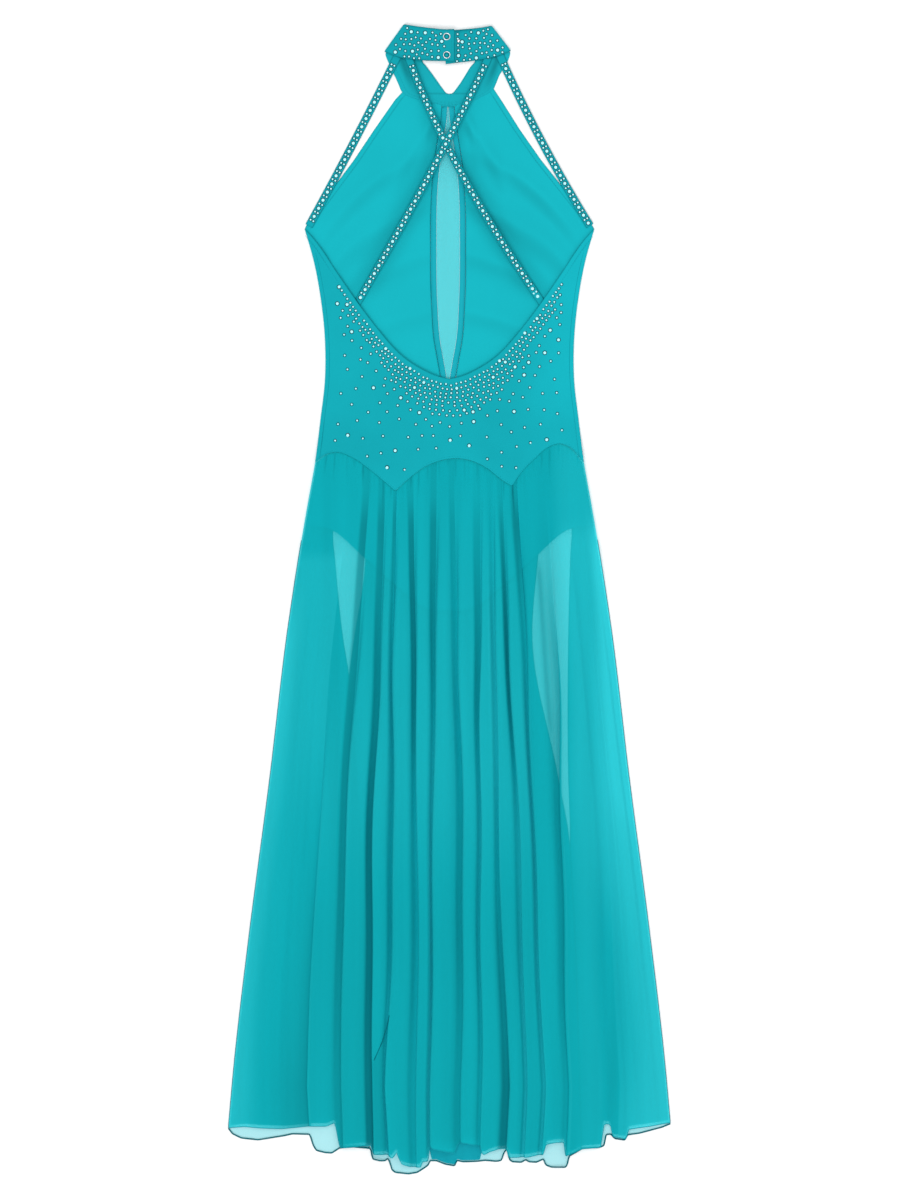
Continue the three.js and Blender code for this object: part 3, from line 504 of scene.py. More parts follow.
def stitches(line, lift):
    """Short raised threads along a line, as (points, faces) parts."""
    line = np.asarray(line, float)
    steps = np.linalg.norm(np.diff(line, axis=0), axis=1)
    run = np.concatenate([[0], np.cumsum(steps)])
    parts = []
    for start in np.arange(0.001, run[-1] - STITCH["length"], STITCH["pitch"]):
        at = start + np.linspace(0, 1, len(STITCH_SHAPE)) * STITCH["length"]
        points = np.stack([np.interp(at, run, line[:, k]) for k in range(3)], -1)
        points[:, 2] += lift + np.array(STITCH_SHAPE) * STITCH["width"] / 2
        parts.append(tube(points, STITCH["width"] / 2, 5))
    return parts


# ------------------------------------------------------------------ materials
def set_inputs(tree, node, inputs):
    """Links each named input to a socket, or sets it to a value."""
    for name, value in inputs.items():
        if isinstance(value, bpy.types.NodeSocket):
            tree.links.new(value, node.inputs[name])
        else:
            node.inputs[name].default_value = value


def add_node(tree, kind, inputs):
    node = tree.nodes.new("ShaderNode" + kind)
    set_inputs(tree, node, inputs)
    return node


def new_material(name):
    material = bpy.data.materials.new(name)
    material.use_nodes = True
    tree = material.node_tree
    tree.nodes.clear()
    shader = add_node(tree, "BsdfPrincipled", {})
    output = add_node(tree, "OutputMaterial", {"Surface": shader.outputs[0]})
    return material, tree, shader, output


def add_noise(tree, scale, detail=3, stretch=(1, 1, 1)):
    """Noise in the dress's own coordinates, and those coordinates."""
    own = add_node(tree, "TexCoord", {})
    mapping = add_node(tree, "Mapping", {"Vector": own.outputs["Object"], "Scale": stretch})
    at = mapping.outputs[0]
    noise = add_node(tree, "TexNoise", {"Vector": at, "Scale": scale, "Detail": detail})
    return noise.outputs["Fac"], at


def tone(tree, pattern, colour, uneven):
    """The colour and a darker tone of it, in soft patches."""
    ramp = add_node(tree, "ValToRGB", {"Fac": pattern})
    dark, light = ramp.color_ramp.elements
    dark.position, light.position = 0.35, 0.65
    dark.color = (*[c * uneven for c in colour], 1)
    light.color = (*colour, 1)
    return ramp.outputs[0]


def attribute(tree, name):
    node = add_node(tree, "Attribute", {})
    node.attribute_name = name
    return node.outputs["Fac"]


def turned_to(tree, base, other, share):
    """The base colour, a socket, turning into the other colour as the share rises."""
    node = add_node(tree, "Mix", {})
    node.data_type = "RGBA"
    set_inputs(tree, node, {"Factor": share, "A": base, "B": (*other, 1)})
    return node.outputs["Result"]


def add_bump(tree, pattern, other, strength, distance):
    """The two patterns, added up, as a bump in the surface."""
    total = add_node(tree, "Math", {0: pattern, 1: other})
    inputs = {"Height": total.outputs[0], "Strength": strength, "Distance": distance}
    return add_node(tree, "Bump", inputs).outputs[0]


def knit_material(name, colour, uneven=0.90):
    """Matt four-way stretch knit with fine wales, painted darker where its "shade" value rises, mostly
    as painted shade.
    """
    material, tree, shader, _ = new_material(name)
    cloud, at = add_noise(tree, 9, 4)
    grain, _ = add_noise(tree, 1500, 2)
    wales = add_node(tree, "TexWave", {"Vector": at, "Scale": 330, "Distortion": 0.6})
    wales.bands_direction = "X"
    shaded = [c * 0.45 for c in colour]
    dye = turned_to(tree, tone(tree, cloud, colour, uneven), shaded, attribute(tree, "shade"))
    set_inputs(tree, shader, {
        "Base Color": dye,
        "Normal": add_bump(tree, wales.outputs["Fac"], grain, 0.25, 0.00012),
        "Roughness": 0.6,
        "Specular IOR Level": 0.14,
        "Specular Tint": (0.12, 0.8, 0.9, 1),
    })
    return material


def sheer_material(name, colour, tint, share, deep_and_shaded=None):
    """Sheer cloth: share of it is thread, and the rest lets tinted light through.

    Where its layer-and-shade value rises, it lies several layers deep and in painted shade, and takes
    the deep colour; below 0 it is spread thin and painted lighter.
    """
    material, tree, shader, output = new_material(name)
    bands, _ = add_noise(tree, 60, 2, (1, 0.03, 1))
    crepe, _ = add_noise(tree, 1100, 3)
    threads, _ = add_noise(tree, 420, 2, (1, 0.05, 1))
    base = tone(tree, bands, colour, 0.93)
    if deep_and_shaded:
        layers_and_shade = attribute(tree, "layers_and_shade")
        thin_and_lit = [c * 1.50 + 0.036 for c in colour]
        for end, other in ((THINNEST_AND_LIT, thin_and_lit), (1, deep_and_shaded)):
            reach = add_node(tree, "MapRange", {"Value": layers_and_shade, "From Max": end})
            base = turned_to(tree, base, other, reach.outputs[0])
        layers = {"Value": layers_and_shade, "To Min": share, "To Max": 0.92}
        share = add_node(tree, "MapRange", layers).outputs[0]
    set_inputs(tree, shader, {
        "Base Color": base,
        "Normal": add_bump(tree, crepe, threads, 0.3, 0.0002),
        "Roughness": 0.8,
        "Specular IOR Level": 0.08,
        "Specular Tint": (0.1, 0.8, 0.9, 1),
    })
    clear = add_node(tree, "BsdfTransparent", {"Color": (*tint, 1)})
    blend = {"Fac": share, 1: clear.outputs[0], 2: shader.outputs[0]}
    set_inputs(tree, output, {"Surface": add_node(tree, "MixShader", blend).outputs[0]})
    return material


def plain_material(name, colour, roughness, metallic=0.0, coat=0.0, specular=0.04):
    material, tree, shader, _ = new_material(name)
    cloud, _ = add_noise(tree, 60, 3)
    set_inputs(tree, shader, {
        "Base Color": tone(tree, cloud, colour, 0.95),
        "Roughness": roughness,
        "Metallic": metallic,
        "Coat Weight": coat,
        "Specular IOR Level": specular,
    })
    return material


BACK_KNIT = knit_material("back_knit", (0.007, 0.427, 0.498))
INSIDE_KNIT = knit_material("inside_knit", (0.008, 0.440, 0.505), 0.95)
YOKE_KNIT = knit_material("yoke_knit", (0.009, 0.415, 0.482))
BINDING_KNIT = knit_material("binding_knit", (0.010, 0.395, 0.475))
COLLAR_KNIT = knit_material("collar_knit", (0.006, 0.350, 0.412))
BRIEF_KNIT = knit_material("brief_knit", (0.003, 0.360, 0.445))
SHEER_MESH = sheer_material("sheer_mesh", (0.02, 0.56, 0.63), (0.52, 0.93, 0.95), 0.42)
# cloth several layers deep in a valley, in painted shade
DEEP_FOLD_SHADE = (0.001, 0.075, 0.105)
BACK_CHIFFON = sheer_material(
    "back_chiffon", (0.008, 0.600, 0.655), (0.42, 0.82, 0.86), 0.50, DEEP_FOLD_SHADE
)
OUTER_CHIFFON = sheer_material("outer_chiffon", (0.03, 0.50, 0.55), (0.76, 0.95, 0.97), 0.16)
UNDER_CHIFFON = sheer_material("under_chiffon", (0.003, 0.365, 0.440), (0.32, 0.9, 0.97), 0.66)
HEM_THREAD = knit_material("hem_thread", (0.001, 0.130, 0.160))
TEAL_THREAD = plain_material("teal_thread", (0.007, 0.35, 0.415), 0.8)
SEAM_SHADE = plain_material("seam_shade", (0.003, 0.26, 0.31), 0.8)
CRYSTAL = plain_material("crystal", (0.47, 0.93, 0.97), 0.15, coat=0.2, specular=0.3)
# dark setting colour, also standing for painted shade round the crystals, in the snap's groove and at
# the stud's foot
SETTING_AND_SHADE = plain_material("setting_and_shade", (0.0, 0.050, 0.065), 0.8)
NICKEL = plain_material("nickel", (0.72, 0.74, 0.76), 0.18, metallic=1.0)

trims = {}


def place(piece, nodes, trim_of=None):
    """Rides a finished piece on the dress, in place of the nodes named.

    A trim goes with the piece of cloth whose node trim_of names.
    """
    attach(piece, "root")
    if nodes:
        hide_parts(*nodes)
    if trim_of:
        trims.setdefault(trim_of, []).append(piece)


def trim(name, parts, materials, cloth, smooth=True):
    """Places threads, seams or stones that go with the cloth of a node."""
    place(joined(name, parts, materials, smooth), [], cloth)


# ------------------------------------------------------------------ front bodice and keyhole
def front_edges(side, y):
    """The inner and outer edges of one half of the front."""
    armhole = straight(ARMHOLE, y, 1 if side < 0 else 2)
    outer = np.where(y > UNDERARM_Y, armhole, side_half(np.minimum(y, UNDERARM_Y)))
    open_edge = curve(KEYHOLE, y) + BINDING_WIDTH + 0.0008
    inner = mix(0.0002, open_edge, ease((y - 0.226) / 0.014))
    return KEYHOLE_X + side * inner, side * outer


def yoke_seam_y(x):
    """The seam between the yoke and the front, along the yoke's lower edge."""
    lower = [(row[0], row[1]) for row in YOKE if row[1] < 0.59]
    return curve(lower, x) - 0.0004


def creases(x, y, table, side=1):
    """The height of all the creases of a table at each point, mirrored where side is -1."""
    height = np.zeros_like(x)
    for cx, cy, angle, length, width, rise in table:
        turn = math.radians(angle)
        dx, dy = side * x - cx, y - cy
        along = dx * math.cos(turn) + dy * math.sin(turn)
        off = -dx * math.sin(turn) + dy * math.cos(turn) + 0.15 * along * along / length
        height += rise * np.exp(-((along / length) ** 2) - (off / width) ** 2)
    return height


def front_shade(x, y, edge, side):
    """Painted shadows beside the crossing straps and along the back's neckline, painted shade on the
    creases, and darker lines at the turned armhole edge.
    """
    painted_dark = np.zeros_like(x)
    # painted shadows of the crossing straps, broad on one side and narrow on the other
    for name in ("strap_cross_under", "strap_cross_over"):
        line_x, line_y, _, _ = strap_line(STRAPS[name], np.linspace(0, 1, 60))
        off = x - np.interp(y, line_y[::-1], line_x[::-1])
        off = off * (1 if name == "strap_cross_under" else -1)
        along = ease((0.575 - y) / 0.05) * ease((y - 0.335) / 0.03)
        painted_dark += along * (0.28 * bump(off, 0.010, 0.012) + 0.16 * bump(off, -0.011, 0.008))
    # painted shadow along the back's neckline
    share = np.clip(np.abs(x) / side_half(np.minimum(y, UNDERARM_Y)), 0, 1)
    above_neck = (y - neck_y(share)) * mix(1, 0.5, share)
    beside_neck = np.where(above_neck > -0.004, np.exp(-np.abs(above_neck) / 0.0035), 0)
    painted_dark += 0.40 * mix(0.6, 1, share ** 4) * beside_neck
    armhole = y > UNDERARM_Y
    painted_dark += armhole * (0.35 * bump(edge, 0.0, 0.0010) + 0.30 * bump(edge, TURNED_EDGE, 0.0007))
    # painted shade on the flanks of the creases that face down the dress
    rise = creases(x, y + 0.006, FRONT_CREASES, side) - creases(x, y - 0.006, FRONT_CREASES, side)
    painted_dark += np.maximum(0, rise) / 0.0016 * (0.18 if side < 0 else 0.36)
    return painted_dark


def front_bodice(side):
    """One half of the front: side is -1 for the left one and 1 for the right one."""
    name = "front_bodice_left" if side < 0 else "front_bodice_right"
    v, u = grid_shares(170, 100, down=(1, 0))
    u = 0.5 * u + 0.5 * np.sin(u * math.pi / 2)
    top = yoke_seam_y(side * 0.052 * (0.14 + 0.86 * u)) + 0.0024
    bottom = hip_y(side * u) + 0.0005
    y = mix(bottom, top, v)
    inner, outer = front_edges(side, y)
    x = mix(inner, outer, u)
    edge = np.abs(outer - x) * np.where(y > UNDERARM_Y, 0.82, 1)
    turned = np.where(y > UNDERARM_Y, 0.00018 * ease((TURNED_EDGE - edge) / 0.0008 + 0.5), 0)
    seam = -0.00004 * bump(edge, 0.0048, 0.0009) * (y < UNDERARM_Y)
    z = FRONT_Z + turned + seam + creases(x, y, FRONT_CREASES, side) * (0.75 if side < 0 else 1)
    cloth = shell(name + "_cloth", points_at(x, y, z), KNIT, INSIDE_KNIT)
    shade(cloth, front_shade(x, y, edge, side))
    place(cloth, [name])
    # the topstitching of the turned armhole edge
    ys = np.linspace(0.432, 0.578, 90)
    line = points_at(front_edges(side, ys)[1] - side * TURNED_EDGE * 1.2, ys, FRONT_Z)
    threads = stitches(line, KNIT / 2 + 0.0002)
    trim(name + "_stitching", threads, [TEAL_THREAD], name)


for half in (-1, 1):
    front_bodice(half)


def keyhole():
    """The mesh insert and the binding on each side of it."""
    bottom, top = KEYHOLE[0][0], KEYHOLE[-1][0]
    v, u = grid_shares(110, 25, across=(-1, 1))
    y = mix(top, bottom, v)
    x = KEYHOLE_X + u * curve(KEYHOLE, y)
    gathers = 0.00035 * np.sin(u * 9) * ease((y - 0.49) / 0.06)
    mesh = open_sheet("keyhole_mesh_cloth", points_at(x, y, FRONT_Z + gathers), SHEER_MESH)
    place(mesh, ["keyhole_mesh"])
    for side, label in ((-1, "left"), (1, "right")):
        v, u = grid_shares(110, 9)
        y = mix(top, bottom, v)
        width = BINDING_WIDTH * mix(0.75, 1, ease((y - bottom) / 0.02))
        x = KEYHOLE_X + side * (curve(KEYHOLE, y) + 0.0003 + u * width)
        z = FRONT_Z + 0.0001 + 0.00022 * np.sin(u * math.pi)
        name = "keyhole_binding_" + label
        strip = points_at(x, y, z)
        cloth = shell(name + "_cloth", strip, KNIT, BINDING_KNIT)
        place(cloth, [name], "keyhole_mesh")
        threads = stitches(strip[:, 6], KNIT / 2)
        seam = tube(strip[:, 8] + [side * 0.0002, 0, KNIT / 2], 0.00022, 5)
        trim(name + "_stitching", threads, [TEAL_THREAD], "keyhole_mesh")
        trim(name + "_seam", [seam], [SEAM_SHADE], "keyhole_mesh")


keyhole()


# ------------------------------------------------------------------ yoke
def yoke():
    """The V between the collar and the front, gathered a little where it meets the keyhole."""
    rows = np.array(YOKE)
    at = np.linspace(0, len(rows) - 1, 130)
    table = [(i, *row) for i, row in enumerate(rows)]
    outer_x, outer_y, inner_x, inner_y = (curve(table, at, k)[:, None] for k in (1, 2, 3, 4))
    outer_y = outer_y - 0.0016 * ease((0.592 - outer_y) / 0.006)
    across = np.linspace(0, 1, 26)[None, :]
    x = mix(outer_x, inner_x, across)
    y = mix(outer_y, inner_y, across)
    middle = bump(x, KEYHOLE_X, 0.016)
    gathers = 0.0005 * middle * np.sin((x - KEYHOLE_X) * YOKE_GATHERS) * (1 - across)
    fold = 0.0004 * bump(across, 0.22, 0.10) + 0.0003 * bump(across, 0.93, 0.08)
    grid = points_at(x, y, FRONT_Z + 0.00035 + gathers + fold)
    cloth = shell("front_yoke_cloth", grid, KNIT, YOKE_KNIT)
    # painted shadows beside the straps where they leave the collar, and on down the crossing ones
    reach_down = np.clip((0.619 - y) / 0.040, 0, 1)
    shadow_between_straps = bump(np.abs(x), mix(0.0545, 0.0400, reach_down), 0.0042)
    shadow_between_straps = 0.75 * shadow_between_straps * ease(1.25 - 1.25 * reach_down)
    turned_in = 0.45 * bump(y, 0.5812, 0.0009) * ease((0.028 - np.abs(x)) / 0.006)
    # painted shadows under the collar at both ends
    ends = 0.26 * bump(np.abs(x), 0.0375, 0.0045) * ease((y - 0.590) / 0.020)
    # a painted sheen: all but two patches a little darker
    darker_off_sheen = 0.05 * (1 - bump(np.abs(x), 0.026, 0.012) * bump(y, 0.590, 0.012))
    # painted shade on one flank of each gather
    folds = 0.30 * middle * np.maximum(0, np.sin((x - KEYHOLE_X) * YOKE_GATHERS + 0.8))
    folds = folds * ease((0.574 - y) / 0.004)
    shade(cloth, shadow_between_straps + ends + darker_off_sheen + turned_in + folds)
    place(cloth, ["front_yoke"])
    under_collar = 21  # rows at each end that the collar covers
    shown = grid[under_collar:-under_collar, 3]
    threads = stitches(shown, KNIT / 2) + stitches(grid[:, 24], KNIT / 2)
    trim("front_yoke_stitching", threads, [TEAL_THREAD], "front_yoke")


yoke()


# ------------------------------------------------------------------ collar and snaps
def collar_grid():
    """The band's middle surface, 18 rows from its lower edge to its upper, softly bent."""
    table = [(i, *row) for i, row in enumerate(COLLAR)]
    at = np.linspace(0, len(COLLAR) - 1, (len(COLLAR) - 1) * COLLAR_STEPS + 1)
    kernel = np.ones(COLLAR_STEPS) / COLLAR_STEPS
    softened = []
    for column in range(1, 6):
        padded = np.pad(straight(table, at, column), COLLAR_STEPS, mode="edge")
        softened.append(np.convolve(padded, kernel, "same")[COLLAR_STEPS:-COLLAR_STEPS])
    low_x, low_y, top_x, top_y, z = softened
    up = np.linspace(0, 1, 18)[:, None]
    return points_at(mix(low_x, top_x, up), mix(low_y, top_y, up), z)


COLLAR_GRID = collar_grid()


def collar():
    """The band, and the stitching round its two back halves."""
    grid = COLLAR_GRID[:, ::-1]
    cloth = shell("collar_band_cloth", grid, COLLAR_THICKNESS, COLLAR_KNIT)
    # painted shade along the seamed edges, and a painted shadow where the end runs under the flap
    edge_shade = np.zeros(grid.shape[:2])
    edge_shade[[0, -1]] = 0.45
    in_flap_shadow = (grid[..., 2] > 0.003) & (grid[..., 2] < 0.005)
    shade(cloth, edge_shade + 0.40 * bump(grid[..., 0], 0.0085, 0.0030) * in_flap_shadow)
    place(cloth, ["collar_band"])
    left_end = math.ceil(LEFT_END_ROW * COLLAR_STEPS) + 1
    right_start = int(RIGHT_START_ROW * COLLAR_STEPS)
    threads = []
    for row in (1, -2):
        for line in (COLLAR_GRID[row, :left_end], COLLAR_GRID[row, right_start:]):
            threads += stitches(line, COLLAR_THICKNESS / 2)
    threads += stitches(COLLAR_GRID[1:-1, 3], COLLAR_THICKNESS / 2)
    trim("collar_band_stitching", threads, [TEAL_THREAD], "collar_band")


collar()


def snap(name, x, y):
    """A thin bright rim round an enamelled cap, with a dark ring in it as the painted shade of a
    groove.
    """
    sides, round_rim = 36, 10
    parts = []
    # (slot, radius of the ring, radius of its own round section, height)
    for slot, middle, section, height in (
        (0, 0.0037, 0.00058, 0.00045), (1, 0.00235, 0.00024, 0.00022),
    ):
        points = []
        for i in range(round_rim):
            turn = -2 * math.pi * i / round_rim
            z = SNAP_Z - 0.0003 + height + section * math.sin(turn)
            points += circle(x, y, z, middle + section * math.cos(turn), sides)
        parts.append((points, ring_faces(round_rim, sides), [slot] * round_rim * sides))
    points, faces, _ = lathe(x, y, SNAP_Z, ((0.0033, -0.0005), (0.0033, -0.0001)), sides)
    parts.append((points, faces, [2] * len(faces)))
    place(joined(name + "_rim", parts, [NICKEL, SETTING_AND_SHADE, COLLAR_KNIT]), [name])


for snap_name, (snap_x, snap_y) in SNAPS.items():
    snap(snap_name, snap_x, snap_y)


def stud():
    """A spare stud on the under end, just clear of the flap."""
    profile = (
        (0.0021, 0.0), (0.0021, 0.0004), (0.0017, 0.0009), (0.0009, 0.0013), (0.0002, 0.0014),
    )
    # its foot takes the dark setting colour, as painted shade round its edge
    parts = [lathe(*STUD_AT, profile, 20, dark=1)]
    trim("snap_stud", parts, [NICKEL, SETTING_AND_SHADE], "collar_band")


stud()


# ------------------------------------------------------------------ back bodice
def bodice_height(x, y, share):
    """The back bodice's middle surface: flat on the front, then up onto the brief and the skirt."""
    rise = ease(1 - (y - hip_y(share)) / HIP_RISE)
    return mix(BACK_Z, HIP_EDGE_Z, rise) + creases(x, y, BACK_CREASES)


def back_bodice():
    """The back bodice, close in its grid near the neckline, with its turned edge."""
    t = np.linspace(-1, 1, 190)
    share = 0.62 * t + 0.38 * np.sin(t * math.pi / 2)
    down = np.linspace(0, 1, 110)
    down = 0.45 * down + 0.55 * (1 - np.cos(down * math.pi / 2))
    down, share = np.meshgrid(down, share, indexing="ij")
    y = mix(neck_y(share), hip_y(share), down)
    x = share * side_half(y)
    slope = np.gradient(neck_y(share[0]), share[0] * NECK_HALF)
    below_neck = (neck_y(share) - y) / np.sqrt(1 + slope ** 2)
    turned = 0.00022 * ease((TURNED_EDGE - below_neck) / 0.0008 + 0.5)
    seam = -0.00025 * bump(side_half(y) - np.abs(x), SIDE_SEAM, 0.0008)
    z = bodice_height(x, y, share) + turned + neck_lift(below_neck, share) + seam
    cloth = shell("back_bodice_cloth", points_at(x, y, z), KNIT, BACK_KNIT)
    # painted shade: the left and the middle darker than the right, as the light falls, and a dark line
    # along the neckline's edge
    shade(cloth, 0.21 * ease((0.88 - share) / 0.45) + 0.35 * bump(below_neck, 0, 0.0008))
    place(cloth, ["back_bodice"])


def bodice_seams():
    """The stitching along the neckline and above the hip, and the two side seams."""
    share = np.linspace(-0.985, 0.985, 320)
    x, y = share * side_half(neck_y(share)), neck_y(share)
    along = np.stack([np.gradient(x), np.gradient(y)], -1)
    along /= np.linalg.norm(along, axis=1, keepdims=True)
    inset = TURNED_EDGE * 0.92
    z = BACK_Z + 0.0002 + NECK_LIFT * 0.72 * ease((1 - np.abs(share)) / 0.1)
    line = points_at(x + along[:, 1] * inset, y - along[:, 0] * inset, z)
    threads = stitches(line, KNIT / 2)
    share = np.linspace(-0.99, 0.99, 400)
    y = hip_y(share)
    line = points_at(share * side_half(y), y + 0.0022, HIP_EDGE_Z)
    threads += stitches(line, KNIT / 2 - 0.0001)
    trim("back_bodice_stitching", threads, [TEAL_THREAD], "back_bodice")
    seams = []
    y = np.linspace(0.163, 0.405, 80)
    for side in (-1, 1):
        x = side * (side_half(y) - SIDE_SEAM)
        z = bodice_height(x, y, np.abs(x) / side_half(y)) + KNIT / 2 - 0.0003
        seams.append(tube(points_at(x, y, z), 0.00026, 5))
    trim("back_bodice_seams", seams, [SEAM_SHADE], "back_bodice")


back_bodice()
bodice_seams()


# ------------------------------------------------------------------ straps
def strap(name, row):
    """One strap, a little crowned, with painted shade along its folded edges."""
    t = np.linspace(0, 1, 90)
    middle_x, middle_y, middle_z, along = strap_line(row, t)
    width = row[-1]
    across = np.linspace(-0.5, 0.5, 9)
    x = middle_x[:, None] - along[:, 1:2] * across * width
    y = middle_y[:, None] + along[:, 0:1] * across * width
    z = middle_z[:, None] + 0.00012 * np.cos(across * math.pi)
    if width == CROSS:
        # the lower end is cut along the back's neckline
        share = np.clip(np.abs(x[-1]) / side_half(np.minimum(y[-1], UNDERARM_Y)), 0, 1)
        past_neck = y[-1] - neck_y(share) - 0.0006
        cut = 0.75 * ease((t - 0.9) / 0.1)[:, None] * past_neck
        y = y - cut
        x = x + cut * (along[-1, 0] / -along[-1, 1])
    cloth = shell(name + "_cloth", points_at(x, y, z), STRAP_THICKNESS, COLLAR_KNIT)
    shade(cloth, np.broadcast_to(0.55 * ease((np.abs(across) - 0.36) / 0.14), x.shape))
    place(cloth, [name], "back_bodice")


for strap_name, strap_row in STRAPS.items():
    strap(strap_name, strap_row)


# ------------------------------------------------------------------ brief
def brief(name, height):
    """One side of the built-in brief, with elastic in its leg line."""
    v, share = grid_shares(40, 90, across=(-1, 1))
    leg = curve(LEG, np.abs(share))
    y = mix(hip_y(share) - 0.0006, leg, v)
    x = share * (side_half(y) - 0.002)
    elastic = 0.00015 * ease((0.007 - (y - leg)) / 0.001 + 0.5)
    cloth = shell(name + "_cloth", points_at(x, y, height + elastic), KNIT, BRIEF_KNIT)
    place(cloth, [name])


brief("brief_front", FRONT_Z + LAYER)
brief("brief_back", FRONT_Z + 2 * LAYER)


# ------------------------------------------------------------------ skirt
def band_width(fold, y):
    """How wide the dark band left of a fold's edge is."""
    _, at_hip, at_hem = VALLEY_LAYERS_AND_SHADE[fold]
    hip, hem = FOLD_HEIGHTS[0], FOLD_HEIGHTS[-1]
    return mix(at_hem, at_hip, np.clip((y - hem) / (hip - hem), 0, 1))


def fold_x(fold, y):
    """Where a valley runs, with a slight wander of its own."""
    if fold < 0:
        return -side_half(y)
    if fold >= len(FOLDS):
        return side_half(y)
    places = FOLDS[fold][0]
    x = curve(list(zip(FOLD_HEIGHTS, places)), y)
    below = np.minimum(y - FOLD_HEIGHTS[-1], 0)
    x = x - below * (places[2] - places[3]) / (FOLD_HEIGHTS[2] - FOLD_HEIGHTS[3])
    wander = 0.0011 * np.sin(y * (17 + 3 * (fold % 4)) + 2.1 * fold) * ease((0.08 - y) / 0.2)
    return x + wander + 0.4 * np.minimum(band_width(fold, y), 0.012)


def ridge_growth(fold, y):
    """How far the ridge right of a valley has grown, from 0 to 1, and how high it stands."""
    start, height = LEFT_SIDE_RIDGE if fold < 0 else FOLDS[fold][1:]
    grown = np.sin(np.clip((start - y) / FOLD_LENGTH, 0, 1) * math.pi / 2)
    slow = 1 + 0.12 * np.sin(y * 11 + 1.7 * fold) + 0.06 * np.sin(y * 31 + 4.1 * fold)
    flatter = 1 - 0.32 * ease((-0.38 - y) / 0.18)
    return grown, height * grown * slow * flatter


def resting_z(x, y):
    """The height of what the back skirt lies on: the brief, or the front skirt alone."""
    inward = side_half(y) - np.abs(x)
    over_front = BACK_Z + LAYER * ease(inward / 0.04)
    below_leg = curve(LEG, np.abs(x) / side_half(y)) - 0.035 - y
    return mix(OVER_BRIEF_Z, over_front, ease(below_leg / 0.06))


RIDGE_AT = [i / (len(RIDGE) - 1) for i in range(len(RIDGE))]
RIDGE_ACROSS = [(at, row[0]) for at, row in zip(RIDGE_AT, RIDGE)]
RIDGE_UP = [(at, row[1]) for at, row in zip(RIDGE_AT, RIDGE)]


def skirt_point(fold, share, y):
    """A point of the back skirt, share of the way over the ridge right of a valley."""
    start, end = fold_x(fold, y), fold_x(fold + 1, y)
    grown, height = ridge_growth(fold, y)
    side_area = fold < 0 or fold >= len(FOLDS) - 1
    lean = grown * (0.25 if side_area else 1)
    across = mix(share, curve(RIDGE_ACROSS, share), lean)
    up = curve(RIDGE_UP, share)
    x = mix(start, end, across)
    ripple = np.sin(share * 19 + fold * 2.3) + 0.6 * np.sin(share * 33 + y * 6 + fold)
    small = 0.00022 * ripple * ease((0.10 - y) / 0.2) * np.sin(share * math.pi)
    z = resting_z(x, y) + height * up + small * (2.2 if side_area else 1)
    return x, y, z


def layers_and_shade_at(fold, x, y):
    """From the lowest value, thin cloth painted lighter, over 0 to 1, layers deep in a valley and in
    painted shade, for the ridge right of a valley.
    """
    value = np.zeros_like(y)
    # the valley right of this ridge: layers of cloth and painted shade, deepening towards the next
    # ridge's edge
    if fold + 1 < len(FOLDS):
        away = np.maximum(fold_x(fold + 1, y) - x, 0) / (1.15 * band_width(fold + 1, y))
        plateau = 0 if fold < 0 else 0.66 * ease((1 - away) / 0.35)
        band = plateau + (0.16 if fold >= 0 else 0.7) * np.clip(1 - away, 0, 1)
        at_hip = mix(0.45, 1, ease((0.13 - y) / 0.05))
        value = at_hip * band * curve(list(zip(FOLD_HEIGHTS, VALLEY_LAYERS_AND_SHADE[fold + 1][0])), y)
    grown = ridge_growth(fold, y)[0]
    # a painted highlight along the ridge's overhanging left edge, and the ridge painted lighter high
    # on the skirt and a little darker near the hem
    if 0 <= fold < len(FOLDS) - 1:
        past = x - fold_x(fold, y)
        ridge_light = mix(-0.10, 0.30, ease((y + 0.40) / 0.22)) if fold < RIGHT_SEAM_FOLD else -0.06
        value = value - grown * (0.34 * bump(past, -0.0002, 0.0010) + ridge_light * (1 - ease(value * 2)))
    # thin and light along both sides of the skirt
    inward = side_half(y) - np.abs(x)
    left_reach = mix(0.024, 0.036, ease((-0.45 - y) / 0.15))
    reach = np.where(x < 0, left_reach, curve(RIGHT_LIGHT, y))
    below = ease((np.where(x < 0, 0.04, 0.12) - y) / 0.10)
    light = np.where(x < 0, 0.75, mix(1.0, 1.7, ease((y + 0.30) / 0.12)))
    value = value - light * ease(1 - inward / reach) * below
    if fold < 0:
        value = value - mix(0.16, 0.42, ease((y + 0.30) / 0.18)) * ease((0.06 - y) / 0.02)
    if fold >= len(FOLDS) - 2:
        beside = ease((x - fold_x(len(FOLDS) - 2, y)) / 0.022)
        near_hem = mix(0.3, 1, ease((y + 0.42) / 0.25))
        near_hip = mix(1, 0.45, ease((y - 0.06) / 0.04))
        value = value - 0.70 * beside * near_hem * near_hip
    # a fold of the lining in the right opening, painted as a darker line for its layers and painted
    # shade
    if fold >= len(FOLDS) - 4:
        inner = ease((y + 0.19) / 0.06) * ease((0.055 - y) / 0.03)
        value = value + 0.42 * inner * bump(x, curve(INNER_FOLD, y), 0.0035)
    return np.clip(value, THINNEST_AND_LIT, 1)


def hem_y(table, x, reach=0.0011):
    """A hem with its corners rounded."""
    steps = np.linspace(-1.6, 1.6, 9)
    weights = np.exp(-(steps ** 2))
    return sum(w * straight(table, x + reach * d) for d, w in zip(steps, weights)) / weights.sum()


